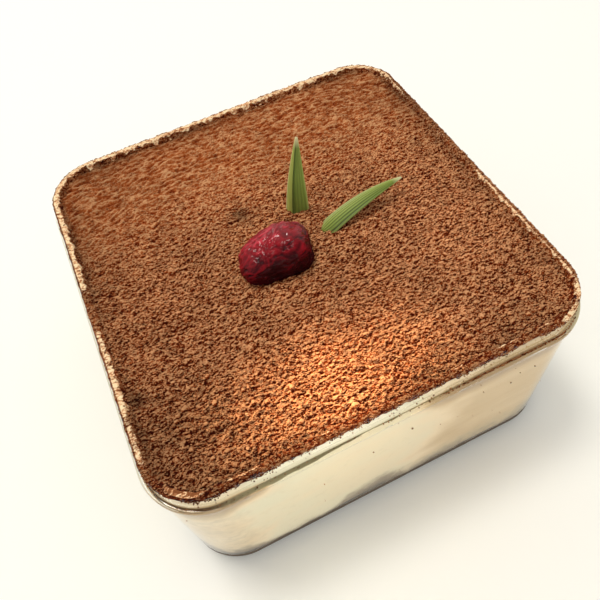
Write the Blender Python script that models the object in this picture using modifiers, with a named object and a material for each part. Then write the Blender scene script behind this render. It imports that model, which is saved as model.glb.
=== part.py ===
"""Tiramisu in its own square clear tub, with a red berry and two leaf blades on the cocoa.

Metres, +Z up.  The origin is the middle of the tub's underside, the tub's sides are
square to X and Y, and the side that the soaked sponge shows through most is the front, -Y.
Run it with:  blender --background --python part.py
"""

import math

import bmesh
import bpy
from mathutils import Vector, noise

MM = 0.001
NAME = "tiramisu_tub"

# ---- the tub, a moulded shell of clear plastic ----------------------------------------
TUB_HEIGHT = 61.0 * MM
RIM_HALF = 59.0 * MM          # half of the rim's outer side
RIM_CORNER = 14.8 * MM        # outer corner radius at the rim
RIM_ROUND = 0.45 * MM         # rounding of the rim's edges
LIP_WIDTH = 2.0 * MM          # flat top of the rim, measured inwards
LIP_THICKNESS = 1.1 * MM
BAND_HEIGHT = 5.5 * MM        # lid seat, from the rim down to the ledge
BAND_FLARE = 0.3 * MM         # the seat widens this much on its way down
LEDGE_WIDTH = 1.2 * MM        # step that the lid stops on
LEDGE_HEIGHT = 1.5 * MM
LEDGE_ROUND = 0.35 * MM
WALL_HALF = 59.7 * MM         # half side of the main wall, under the ledge
WALL_DRAFT = 0.2 * MM         # the wall narrows this much down to the base
WALL = 0.9 * MM               # plastic thickness
BASE_FILLET = 4.0 * MM
CORNER_STEPS = 8
FILLET_STEPS = 4

# ---- the filling ----------------------------------------------------------------------
GAP = 0.3 * MM                # clearance between pieces that touch
SPONGE_TOP = 4.6 * MM         # mean level of the soaked sponge, above the underside
SPONGE_WAVE = 1.3 * MM
SPONGE_WAVELENGTH = 17.0 * MM
SPONGE_LEAST = 2.4 * MM
# Where the sponge drank more and swelled: x, y, radius and rise.
SPONGE_SWELLS = ((-14.0 * MM, -60.0 * MM, 11.0 * MM, 3.6 * MM),
                 (31.0 * MM, -60.0 * MM, 14.0 * MM, 2.6 * MM),
                 (-48.0 * MM, -58.0 * MM, 7.0 * MM, 1.8 * MM))
SPONGE_GRID = 18
COCOA_BOTTOM = TUB_HEIGHT - 2.6 * MM
COCOA_TOP = TUB_HEIGHT - 1.0 * MM
COCOA_EDGE_DROP = 0.5 * MM    # how far the cocoa falls away beside the lip
COCOA_EDGE_REACH = 5.0 * MM
COCOA_LEAST = 0.4 * MM        # thickness that is left under the deepest pit
# Waves of the sifted cocoa: wavelength, height and seed.
COCOA_WAVES = ((23.0 * MM, 0.36 * MM, 7.7), (9.0 * MM, 0.26 * MM, 1.3),
               (4.5 * MM, 0.16 * MM, 5.2))
# A pit beside the lip and two lumps near the corner: x, y, radius and rise.
COCOA_LUMPS = ((-54.5 * MM, -28.0 * MM, 1.8 * MM, -1.2 * MM),
               (-42.5 * MM, -40.0 * MM, 2.6 * MM, 0.7 * MM),
               (-50.5 * MM, -46.0 * MM, 2.4 * MM, 0.8 * MM))
BANK_HEIGHT = 0.5 * MM        # cocoa pushed up round the berry
BANK_PLACE = 1.3              # its crest, as a multiple of the berry's outline
BANK_SPREAD = 0.22
COCOA_GRID = 40

# ---- the garnish ----------------------------------------------------------------------
BERRY_PLACE = Vector((-7.3, -6.4, 63.2)) * MM
BERRY_LENGTH = 20.4 * MM
BERRY_WIDTH = 14.0 * MM
BERRY_HEIGHT = 13.0 * MM
BERRY_BLUNTNESS = 3.0         # 2 is an ellipsoid, more is squarer
BERRY_TAPER = 0.1             # its blunt end is wider by this share, the other narrower
BERRY_SLUMP = 1.7 * MM        # the narrow end sags this far to the front
BERRY_TURN = math.radians(-6.0)
BERRY_LEAN = math.radians(-7.0)
BERRY_FOLD = 0.035            # depth of the skin's large folds, as a share of its radius
BERRY_DENT = 0.02
BERRY_SEGMENTS = 26
BERRY_RINGS = 16

LEAF_THICKNESS = 0.4 * MM
LEAF_TIP_HALF = 0.22 * MM
UPRIGHT_FOOT = Vector((4.1, 7.0, 56.6)) * MM
UPRIGHT_TIP = Vector((9.0, 9.9, 84.0)) * MM
UPRIGHT_RIGHT_HALF = 4.7 * MM
UPRIGHT_LEFT_HALF = 2.8 * MM
UPRIGHT_RIGHT_HEADING = math.radians(-8.0)
UPRIGHT_LEFT_HEADING = math.radians(112.0)
UPRIGHT_BOW = 0.6 * MM        # how far the middle of the blade bows out
UPRIGHT_BOW_HEADING = math.radians(200.0)
UPRIGHT_TAPER = 1.35          # 1 is a straight taper, more keeps a blade wide for longer
LEANING_FOOT = Vector((8.9, -2.6, 59.3)) * MM
LEANING_RISE = Vector((21.0, -2.2, 67.4)) * MM
LEANING_TIP = Vector((35.3, -0.6, 65.2)) * MM
LEANING_HALF = 2.7 * MM
LEANING_TAPER = 2.1
LEANING_DROOP = 0.4           # how far the edges hang below the midrib, per half width
LEANING_ROUND = 0.1           # share of its length over which its foot is rounded
LEANING_FOOT_SHARE = 0.5      # width of its foot, as a share of the full width
LEAF_STATIONS = 14
LEAF_SIDES = (-1.0, -0.5, 0.0, 0.5, 1.0)


def srgb(code):
    """Linear colour of a hex code such as 'c8a070'."""
    values = [int(code[i:i + 2], 16) / 255 for i in (0, 2, 4)]
    return [v / 12.92 if v <= 0.04045 else ((v + 0.055) / 1.055) ** 2.4 for v in values]


def material(name, code, roughness, alpha=1.0):
    """A plain Principled material."""
    made = bpy.data.materials.new(name)
    made.use_nodes = True
    shader = made.node_tree.nodes["Principled BSDF"]
    shader.inputs["Base Color"].default_value = (*srgb(code), 1.0)
    shader.inputs["Roughness"].default_value = roughness
    shader.inputs["Metallic"].default_value = 0.0
    shader.inputs["Alpha"].default_value = alpha
    made.diffuse_color = (*srgb(code), alpha)
    return made


def finish_object(name, bm, collection, smooth_angle=35.0):
    """Turn a bmesh into an object in a collection, faces out and round parts smooth."""
    bmesh.ops.recalc_face_normals(bm, faces=bm.faces)
    mesh = bpy.data.meshes.new(name)
    bm.to_mesh(mesh)
    bm.free()
    mesh.shade_smooth()
    mesh.set_sharp_from_angle(angle=math.radians(smooth_angle))
    made = bpy.data.objects.new(name, mesh)
    collection.objects.link(made)
    return made


def heading(angle, reach):
    """Level vector of a length in a compass direction."""
    return Vector((math.cos(angle), math.sin(angle), 0)) * reach


# ---- rounded squares and lofts ----------------------------------------------------------
def ring_points(half, corner, height):
    """Points of a rounded square at a height, anticlockwise from above."""
    points = []
    for quarter in range(4):
        start = quarter * math.pi / 2
        middle = start + math.pi / 4
        centre = Vector((math.copysign(half - corner, math.cos(middle)),
                         math.copysign(half - corner, math.sin(middle)), height))
        for step in range(CORNER_STEPS + 1):
            angle = start + step * math.pi / 2 / CORNER_STEPS
            points.append(centre + Vector((math.cos(angle), math.sin(angle), 0)) * corner)
    return points


def loft(sections):
    """Closed body through rounded squares, each (half side, corner radius, height)."""
    bm = bmesh.new()
    rings = [[bm.verts.new(point) for point in ring_points(*size)] for size in sections]
    for lower, upper in zip(rings, rings[1:]):
        for i in range(len(lower)):
            bm.faces.new((lower[i - 1], lower[i], upper[i], upper[i - 1]))
    bm.faces.new(rings[0])
    bm.faces.new(rings[-1])
    return bm


def section(half, height):
    """A section whose corner is parallel to the rim's."""
    return half, RIM_CORNER + half - RIM_HALF, height


def fillet_sections(half, radius, floor):
    """Sections of a rounded foot, from the floor up to the wall."""
    steps = [math.pi / 2 * (1 - i / FILLET_STEPS) for i in range(FILLET_STEPS + 1)]
    return [section(half - radius * (1 - math.cos(a)), floor + radius * (1 - math.sin(a)))
            for a in steps]


def outer_sections():
    """The tub's outside, from the underside up to the rim."""
    band_half = RIM_HALF + BAND_FLARE
    ledge_half = band_half + LEDGE_WIDTH
    ledge_top = TUB_HEIGHT - BAND_HEIGHT
    ledge_bottom = ledge_top - LEDGE_HEIGHT
    sections = fillet_sections(WALL_HALF - WALL_DRAFT, BASE_FILLET, 0.0)
    sections += [
        section(WALL_HALF, ledge_bottom - LEDGE_ROUND),
        section(ledge_half - LEDGE_ROUND, ledge_bottom),
        section(ledge_half, ledge_bottom + LEDGE_ROUND),
        section(ledge_half, ledge_top - LEDGE_ROUND),
        section(ledge_half - LEDGE_ROUND, ledge_top),
        section(band_half, ledge_top),
        section(RIM_HALF, TUB_HEIGHT - RIM_ROUND),
        section(RIM_HALF - RIM_ROUND, TUB_HEIGHT),
    ]
    return sections


def inner_sections(clearance=0.0):
    """The tub's inside, from the rim down to the floor, or a solid that clears it."""
    lip_half = RIM_HALF - LIP_WIDTH - clearance
    band_half = RIM_HALF + BAND_FLARE - WALL - clearance
    wall_half = WALL_HALF - WALL - clearance
    lip_bottom = TUB_HEIGHT - LIP_THICKNESS - clearance / 2
    base = fillet_sections(wall_half - WALL_DRAFT, BASE_FILLET - WALL - clearance,
                           WALL + clearance)
    sections = [
        section(lip_half, TUB_HEIGHT - RIM_ROUND),
        section(lip_half, lip_bottom),
        section(band_half, lip_bottom - LIP_WIDTH + WALL),
        section(band_half, TUB_HEIGHT - BAND_HEIGHT - LEDGE_HEIGHT),
        section(wall_half, TUB_HEIGHT - BAND_HEIGHT - LEDGE_HEIGHT - WALL),
    ]
    return sections + base[::-1]


def make_tub(collection):
    """Open shell: up the outside, over the lip and down the inside."""
    over_the_lip = [section(RIM_HALF - LIP_WIDTH + RIM_ROUND, TUB_HEIGHT)]
    bm = loft(outer_sections() + over_the_lip + inner_sections())
    tub = finish_object("tub", bm, collection)
    tub.data.materials.append(material("clear tub plastic", "f1ead2", 0.12, alpha=0.35))
    return tub


# ---- the levels of the filling ------------------------------------------------------------
def wave(x, y, length, seed):
    """Smooth noise between about -1 and 1 with a given wavelength."""
    return 2.0 * noise.noise(Vector((x / length, y / length, seed)))


def mounds(x, y, places):
    """Sum of round mounds at a point, each (x, y, radius, rise)."""
    return sum(rise * math.exp(-((x - place_x) ** 2 + (y - place_y) ** 2) / radius ** 2)
               for place_x, place_y, radius, rise in places)


def sponge_level(x, y):
    """Top of the soaked sponge: uneven, and thicker where it drank more."""
    level = SPONGE_TOP + SPONGE_WAVE * wave(x, y, SPONGE_WAVELENGTH, 3.1)
    return max(level + mounds(x, y, SPONGE_SWELLS), SPONGE_LEAST)


def cocoa_level(x, y):
    """Top of the cocoa: gentle waves, lower beside the lip, banked round the berry."""
    level = COCOA_TOP + mounds(x, y, COCOA_LUMPS)
    level += sum(height * wave(x, y, length, seed) for length, height, seed in COCOA_WAVES)
    to_lip = RIM_HALF - LIP_WIDTH - max(abs(x), abs(y))
    level -= COCOA_EDGE_DROP * math.exp(-max(to_lip, 0) / COCOA_EDGE_REACH)
    away = Vector((x, y)) - BERRY_PLACE.xy
    along = away.dot(heading(BERRY_TURN, 1.0).xy)
    across = away.dot(heading(BERRY_TURN + math.pi / 2, 1.0).xy)
    reach = math.hypot(along / (BERRY_LENGTH / 2), across / (BERRY_WIDTH / 2))
    level += BANK_HEIGHT * math.exp(-((reach - BANK_PLACE) / BANK_SPREAD) ** 2)
    return max(level, COCOA_BOTTOM + GAP / 2 + COCOA_LEAST)


def make_block(name, collection, cells, lower, upper):
    """Square block, wider than the tub's inside, between two levels.

    A level is a height, which gives one flat face, or a function of x and y.
    """
    bm = bmesh.new()
    bmesh.ops.create_grid(bm, x_segments=cells, y_segments=cells, size=RIM_HALF + 2 * MM)
    bmesh.ops.triangulate(bm, faces=bm.faces, quad_method="FIXED")
    top = {"verts": list(bm.verts), "faces": list(bm.faces), "level": upper}
    made = bmesh.ops.extrude_face_region(bm, geom=top["faces"], use_keep_orig=True)["geom"]
    bottom = {"verts": [v for v in made if isinstance(v, bmesh.types.BMVert)],
              "faces": [f for f in made if isinstance(f, bmesh.types.BMFace)],
              "level": lower}
    for side in (top, bottom):
        level = side["level"]
        for vert in side["verts"]:
            vert.co.z = level(vert.co.x, vert.co.y) if callable(level) else level
    for side in (top, bottom):
        if not callable(side["level"]):
            bmesh.ops.dissolve_faces(bm, faces=side["faces"])
    return finish_object(name, bm, collection)


def add_boolean(target, cutter, operation):
    """Cut one object by another, or keep what they share."""
    cut = target.modifiers.new(operation.title() + " " + cutter.name, "BOOLEAN")
    cut.operation = operation
    cut.object = cutter
    cut.solver = "EXACT"


def make_filling(collection, inside, garnish_room):
    """Sponge, cream and cocoa: blocks kept where the tub's inside is."""
    sponge = make_block("sponge_base", collection, SPONGE_GRID, 0.0,
                        lambda x, y: sponge_level(x, y) - GAP / 2)
    cream = make_block("cream", collection, SPONGE_GRID,
                       lambda x, y: sponge_level(x, y) + GAP / 2, COCOA_BOTTOM - GAP / 2)
    cocoa = make_block("cocoa", collection, COCOA_GRID, COCOA_BOTTOM + GAP / 2, cocoa_level)
    sponge.data.materials.append(material("coffee-soaked sponge", "8d7a62", 0.75))
    cream.data.materials.append(material("mascarpone cream", "efdfba", 0.5))
    cocoa.data.materials.append(material("cocoa powder", "93593a", 0.95))
    for layer in (sponge, cream, cocoa):
        add_boolean(layer, inside, "INTERSECT")
    for layer in (cream, cocoa):
        for cutter in garnish_room:
            add_boolean(layer, cutter, "DIFFERENCE")


# ---- the garnish --------------------------------------------------------------------------
def shape_berry(point, swell):
    """Move a point of the unit sphere onto the berry's slumped, wrinkled skin."""
    power = BERRY_BLUNTNESS
    square = sum(abs(value) ** power for value in point) ** (-1 / power)
    fold = wave(point.x * 1.1, point.y * 1.5, 0.85, 2.0 + point.z)
    dent = wave(point.y * 1.3 + 4.0, point.z * 1.2, 0.6, 8.0 + point.x)
    radius = square * (1.0 + BERRY_FOLD * fold + BERRY_DENT * dent)
    end = point.x * square
    width = 1.0 + BERRY_TAPER * end
    shaped = Vector((point.x * radius * BERRY_LENGTH / 2,
                     point.y * radius * width * BERRY_WIDTH / 2,
                     point.z * radius * width * BERRY_HEIGHT / 2))
    shaped.y -= BERRY_SLUMP * (1 - end) ** 2 / 4
    return shaped + point * swell


def make_berry(name, collection, swell=0.0):
    """One thawed red berry, lying half sunk on its side."""
    bm = bmesh.new()
    bmesh.ops.create_uvsphere(bm, u_segments=BERRY_SEGMENTS, v_segments=BERRY_RINGS,
                              radius=1.0)
    bmesh.ops.rotate(bm, verts=bm.verts, cent=(0, 0, 0),
                     matrix=Vector((0, 0, 1)).rotation_difference(
                         Vector((1, 0, 0))).to_matrix())
    for vert in bm.verts:
        vert.co = shape_berry(vert.co.copy(), swell)
    berry = finish_object(name, bm, collection)
    berry.location = BERRY_PLACE
    berry.rotation_euler = (0.0, BERRY_LEAN, BERRY_TURN)
    return berry


def blade_width(along, taper):
    """Share of a blade's full width, from foot (0) to tip (1)."""
    return (1 - along ** taper) ** 0.9


def rounded_foot(along):
    """Narrow the first part of a blade to a blunt, round end."""
    turned = 1 - min(along / LEANING_ROUND, 1)
    return LEANING_FOOT_SHARE + (1 - LEANING_FOOT_SHARE) * math.sqrt(1 - turned ** 2)


def make_blade(name, collection, spine, across, swell=0.0):
    """Leaf blade: a strip each side of its midrib, given its thickness by Solidify.

    spine gives the midrib's point at a share of the length; across gives the sideways
    reach there, from the left edge (-1) to the right one (1).
    """
    bm = bmesh.new()
    rows = []
    for station in range(LEAF_STATIONS + 1):
        along = station / LEAF_STATIONS
        rows.append([bm.verts.new(spine(along) + across(along, side))
                     for side in LEAF_SIDES])
    for lower, upper in zip(rows, rows[1:]):
        for side in range(len(lower) - 1):
            bm.faces.new((lower[side], lower[side + 1], upper[side + 1], upper[side]))
    blade = finish_object(name, bm, collection)
    shell = blade.modifiers.new("Thickness", "SOLIDIFY")
    shell.thickness = LEAF_THICKNESS + 2 * swell
    shell.offset = 0.0
    shell.use_even_offset = False
    return blade


def make_upright(name, collection, swell=0.0):
    """The folded blade that stands in the cream, its fold towards the front left."""
    lift = (UPRIGHT_TIP - UPRIGHT_FOOT).normalized() * swell

    def spine(along):
        bow = heading(UPRIGHT_BOW_HEADING, UPRIGHT_BOW * math.sin(math.pi * along))
        return UPRIGHT_FOOT.lerp(UPRIGHT_TIP, along) + bow - lift * (1 - along)

    def across(along, side):
        full, turn = (UPRIGHT_LEFT_HALF, UPRIGHT_LEFT_HEADING)
        if side > 0:
            full, turn = (UPRIGHT_RIGHT_HALF, UPRIGHT_RIGHT_HEADING)
        width = full * blade_width(along, UPRIGHT_TAPER) + LEAF_TIP_HALF + swell
        return heading(turn, width * abs(side))

    return make_blade(name, collection, spine, across, swell)


def make_leaning(name, collection, swell=0.0):
    """The blade that leans out to the right in a low arch, its foot in the cocoa."""
    run = (LEANING_TIP - LEANING_FOOT).normalized()
    out = run.cross(Vector((0, 0, 1))).normalized()

    def spine(along):
        first = LEANING_FOOT.lerp(LEANING_RISE, along)
        last = LEANING_RISE.lerp(LEANING_TIP, along)
        return first.lerp(last, along) - run * swell * (1 - along)

    def across(along, side):
        full = LEANING_HALF * blade_width(along, LEANING_TAPER) * rounded_foot(along)
        droop = Vector((0, 0, LEANING_DROOP * full * side ** 2))
        return out * side * (full + LEAF_TIP_HALF + swell) - droop

    return make_blade(name, collection, spine, across, swell)


def make_garnish(collection, cutters):
    """Berry and leaves, and the swollen copies that make room for them."""
    berry = make_berry("red_berry", collection)
    berry.data.materials.append(material("thawed berry skin", "7d1420", 0.25))
    green = material("leaf green", "5f9138", 0.45)
    fresh = material("pale leaf green", "86b457", 0.45)
    upright = make_upright("leaf_upright", collection)
    upright.data.materials.append(green)
    leaning = make_leaning("leaf_leaning", collection)
    leaning.data.materials.append(fresh)
    return [make_berry("room for berry", cutters, swell=GAP),
            make_upright("room for upright leaf", cutters, swell=GAP),
            make_leaning("room for leaning leaf", cutters, swell=GAP)]


def new_collection(name):
    """A collection in the scene."""
    made = bpy.data.collections.new(name)
    bpy.context.scene.collection.children.link(made)
    return made


def main():
    """Clear the scene and build the tub, its filling and its garnish."""
    for old in list(bpy.data.objects):
        bpy.data.objects.remove(old, do_unlink=True)
    parts = new_collection(NAME)
    cutters = new_collection("cutters")
    make_tub(parts)
    above_rim = [section(RIM_HALF - LIP_WIDTH - GAP, TUB_HEIGHT + BAND_HEIGHT)]
    inside = finish_object("inside of tub", loft(above_rim + inner_sections(GAP)), cutters)
    garnish_room = make_garnish(parts, cutters)
    make_filling(parts, inside, garnish_room)
    for cutter in cutters.objects:
        cutter.hide_render = True
        cutter.display_type = "WIRE"


main()
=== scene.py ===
"""Looks of a small tiramisu in its clear square tub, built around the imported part.

Sizes are given in millimetres and turned into metres where a mesh is made.  The tub's
middle is the origin, its underside lies at height 0 and its front wall faces -Y.
"""

from __future__ import annotations

import logging
import math
from dataclasses import dataclass
from enum import Enum
from functools import partial
from typing import Callable, Iterable, Sequence

import bmesh
import bpy
import numpy as np
from mathutils import Matrix, Vector, noise


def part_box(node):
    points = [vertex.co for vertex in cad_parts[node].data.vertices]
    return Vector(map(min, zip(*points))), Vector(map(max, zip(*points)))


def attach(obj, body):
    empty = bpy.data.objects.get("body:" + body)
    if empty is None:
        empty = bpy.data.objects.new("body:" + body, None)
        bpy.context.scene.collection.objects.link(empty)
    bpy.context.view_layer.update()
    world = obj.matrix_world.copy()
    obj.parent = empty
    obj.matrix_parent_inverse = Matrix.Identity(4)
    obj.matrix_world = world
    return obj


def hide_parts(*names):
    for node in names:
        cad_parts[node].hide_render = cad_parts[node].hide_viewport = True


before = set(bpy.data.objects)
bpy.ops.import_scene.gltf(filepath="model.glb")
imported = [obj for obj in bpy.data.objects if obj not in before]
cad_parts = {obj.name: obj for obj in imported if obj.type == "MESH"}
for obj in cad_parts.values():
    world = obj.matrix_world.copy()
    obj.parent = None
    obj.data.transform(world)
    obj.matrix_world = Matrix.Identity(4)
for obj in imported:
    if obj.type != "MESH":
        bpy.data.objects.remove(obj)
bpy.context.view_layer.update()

MM = 0.001
BODY = "root"
CORNER_CENTRE = 44.2            # all the tub's rounded squares share their corners' centres
COCOA_LEVEL = 60.0              # mean top of the cocoa
FRONT_LIP = (-46.0, -55.0)      # y between which the lip turns from a side into the front
FRONT_WALL = (-40.0, -58.0)     # the same for the wall
LOG = logging.getLogger("tiramisu")

Stops = tuple[tuple[float, str], ...]               # places and hex colours of a ramp
Hill = tuple[float, tuple[float, float], float]     # height, place and radius of a bump
Place = tuple[float, float, float]                  # x, y and z in millimetres
Station = Callable[[float, float], tuple[float, float]]     # half side, height at x, y


# ---- small tools ----------------------------------------------------------------------
def linear(code: str) -> tuple[float, float, float, float]:
    """Turn an sRGB hex value into a linear colour.

    Args:
        code: six hex digits, such as "c8a070".

    Returns:
        Red, green, blue and an alpha of 1.
    """
    values = [int(code[i:i + 2], 16) / 255 for i in (0, 2, 4)]
    red, green, blue = (v / 12.92 if v <= 0.04045 else ((v + 0.055) / 1.055) ** 2.4
                        for v in values)
    return red, green, blue, 1.0


def metres(*sizes: float) -> list[float]:
    """Turn millimetres into metres."""
    return [size * MM for size in sizes]


def per_mm(size: float) -> float:
    """Texture scale, for coordinates in metres, that gives features of size millimetres."""
    return 1.0 / (size * MM)


def feed(node: bpy.types.Node, *inputs: object, stops: Stops = (), **settings: object
         ) -> bpy.types.Node:
    """Give a shader node its settings and links.

    Args:
        node: the node.
        inputs: values for its open inputs in turn.  An input whose value is a socket is
            linked to it, and one whose value is a node to that node's first open output.
        stops: places and colours of a ramp.
        settings: the same for inputs by name, as in base_color, and values for the
            node's attributes.

    Returns:
        The same node.
    """
    labelled = [(socket.name.lower().replace(" ", "_"), socket) for socket in node.inputs]
    for name, value in settings.items():
        if name not in dict(labelled):
            setattr(node, name, value)
    if stops:
        elements = node.color_ramp.elements
        while len(elements) < len(stops):
            elements.new(1.0)
        for element, (place, code) in zip(elements, stops):
            element.position = place
            element.color = linear(code)
    ready = [(label, socket) for label, socket in labelled if socket.enabled]
    pairs = [(socket, value) for (_, socket), value in zip(ready, inputs)]
    pairs += [(socket, settings[label]) for label, socket in ready if label in settings]
    for socket, value in pairs:
        if isinstance(value, bpy.types.Node):
            value = next(output for output in value.outputs if output.enabled)
        if isinstance(value, bpy.types.NodeSocket):
            node.id_data.links.new(value, socket)
        else:
            socket.default_value = value
    return node


def add_node(tree: bpy.types.NodeTree, kind: str, *inputs: object, **settings: object
             ) -> bpy.types.Node:
    """Add one shader node.

    Args:
        tree: node tree that gets the node.
        kind: type of node, without its "ShaderNode".
        inputs: values for its open inputs in turn, as for feed.
        settings: its settings and links by name, as for feed.

    Returns:
        The new node.
    """
    return feed(tree.nodes.new("ShaderNode" + kind), *inputs, **settings)


def wave(x: float, y: float, length: float, seed: float) -> float:
    """Smooth noise between about -1 and 1.

    Args:
        x: place in millimetres.
        y: place in millimetres.
        length: wavelength in millimetres.
        seed: picks one of many fields.

    Returns:
        The field's value there.
    """
    return 2.0 * noise.noise(Vector((x / length, y / length, seed)))


def bump(x: float, y: float, place: tuple[float, float], radius: float) -> float:
    """Round bump of height 1 at a place; all in millimetres."""
    away = math.hypot(x - place[0], y - place[1]) / radius
    return math.exp(-away * away)


def hills(x: float, y: float, bumps: Iterable[Hill]) -> float:
    """Sum of some bumps at a place."""
    return sum(tall * bump(x, y, place, radius) for tall, place, radius in bumps)


def step(low: float, high: float, value: float) -> float:
    """Smooth rise from 0 at low to 1 at high."""
    share = min(max((value - low) / (high - low), 0.0), 1.0)
    return share * share * (3 - 2 * share)


def fresh(made: dict, kind: type) -> list:
    """Pick the new items of one kind out of what a bmesh operator made."""
    return [item for item in made["geom"] if isinstance(item, kind)]


def place_ring(verts: Iterable[bmesh.types.BMVert], half: float, height: float) -> None:
    """Move a ring of points onto a rounded square of the tub.

    Args:
        verts: points outside the square of the corners' centres.
        half: half side of the rounded square, in millimetres.
        height: its height, in millimetres.
    """
    limit = CORNER_CENTRE * MM
    for vert in verts:
        centre = Vector([min(max(value, -limit), limit) for value in vert.co.xy])
        out = (vert.co.xy - centre).normalized() * (half - CORNER_CENTRE) * MM
        vert.co = Vector((*(centre + out), height * MM))


def start_ring(half: float, corner_segments: int, flat_cuts: int) -> bmesh.types.BMesh:
    """One face whose edge is a rounded square of the tub.

    Args:
        half: half side in millimetres.
        corner_segments: edges round each corner.
        flat_cuts: points along each flat side, apart from its ends.

    Returns:
        The new bmesh, at height 0.
    """
    bm = bmesh.new()
    made = bmesh.ops.create_grid(bm, x_segments=1, y_segments=1, size=half * MM)
    bmesh.ops.bevel(bm, geom=made["verts"], affect="VERTICES", profile=0.5, material=-1,
                    offset=(half - CORNER_CENTRE) * MM, segments=corner_segments)
    flats = [edge for edge in bm.edges if edge.calc_length() > CORNER_CENTRE * MM]
    bmesh.ops.subdivide_edges(bm, edges=flats, cuts=flat_cuts)
    return bm


def rounded_grid(cells: int, half: float) -> bmesh.types.BMesh:
    """Flat grid whose edge is a rounded square of the tub.

    Args:
        cells: cells along a side.
        half: half side in millimetres.

    Returns:
        The new bmesh, at height 0.
    """
    bm = bmesh.new()
    bmesh.ops.create_grid(bm, x_segments=cells, y_segments=cells, size=half * MM)
    radius = (half - CORNER_CENTRE) * MM
    centre = Vector((CORNER_CENTRE, CORNER_CENTRE)) * MM
    for vert in bm.verts:
        share = max(abs(vert.co.x), abs(vert.co.y)) / (half * MM)
        if share == 0:
            continue
        edge = Vector((abs(vert.co.x), abs(vert.co.y))) / share
        if min(edge) <= CORNER_CENTRE * MM:
            continue
        middle = edge.dot(centre) / edge.length_squared
        spare = (centre.length_squared - radius * radius) / edge.length_squared
        reach = middle + math.sqrt(middle * middle - spare)
        vert.co.xy *= 1 + (reach - 1) * share ** 4
    return bm


def add_object(name: str, data: bpy.types.ID) -> bpy.types.Object:
    """Put a mesh, a light or a camera into the scene.

    Args:
        name: name of the object.
        data: what it shows.

    Returns:
        The new object.
    """
    made = bpy.data.objects.new(name, data)
    bpy.context.scene.collection.objects.link(made)
    return made


def finish_mesh(name: str, bm: bmesh.types.BMesh, sharp: float = 40.0) -> bpy.types.Object:
    """Turn a bmesh into an object with its faces out.

    Args:
        name: name of the object.
        bm: the mesh, freed here.
        sharp: edges that turn more than this many degrees stay sharp.

    Returns:
        The new object, linked to the scene.
    """
    bmesh.ops.recalc_face_normals(bm, faces=bm.faces)
    mesh = bpy.data.meshes.new(name)
    bm.to_mesh(mesh)
    bm.free()
    mesh.shade_smooth()
    mesh.set_sharp_from_angle(angle=math.radians(sharp))
    return add_object(name, mesh)


def hand_in(piece: bpy.types.Object, finish: bpy.types.Material, slot: str,
            *nodes: str) -> bpy.types.Object:
    """Dress a piece, let it ride on the part and hide the part's nodes that it replaces.

    Args:
        piece: the finished object.
        finish: its material.
        slot: not used.
        nodes: the part's nodes that it replaces.

    Returns:
        The same object.
    """
    piece.data.materials.clear()
    piece.data.materials.append(finish)
    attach(piece, BODY)
    if nodes:
        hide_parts(*nodes)
    LOG.info("%s: %d faces", piece.name, len(piece.data.polygons))
    return piece


def settle(bm: bmesh.types.BMesh, node: str) -> None:
    """Move a mesh so that the middle of its box is the middle of a node's box.

    Args:
        bm: the mesh.
        node: name of the part's node.
    """
    low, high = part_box(node)
    own = [Vector(map(pick, *(v.co for v in bm.verts))) for pick in (min, max)]
    bmesh.ops.translate(bm, verts=bm.verts, vec=(low + high) / 2 - (own[0] + own[1]) / 2)


# ---- finishes -------------------------------------------------------------------------
def start_finish(name: str) -> tuple[bpy.types.Material, Callable[..., bpy.types.Node],
                                     bpy.types.Node]:
    """Start a material.

    Args:
        name: what the real material is.

    Returns:
        The material, add_node for its tree, and its Principled node.
    """
    made = bpy.data.materials.new(name)
    made.use_nodes = True
    return made, partial(add_node, made.node_tree), made.node_tree.nodes["Principled BSDF"]


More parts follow.
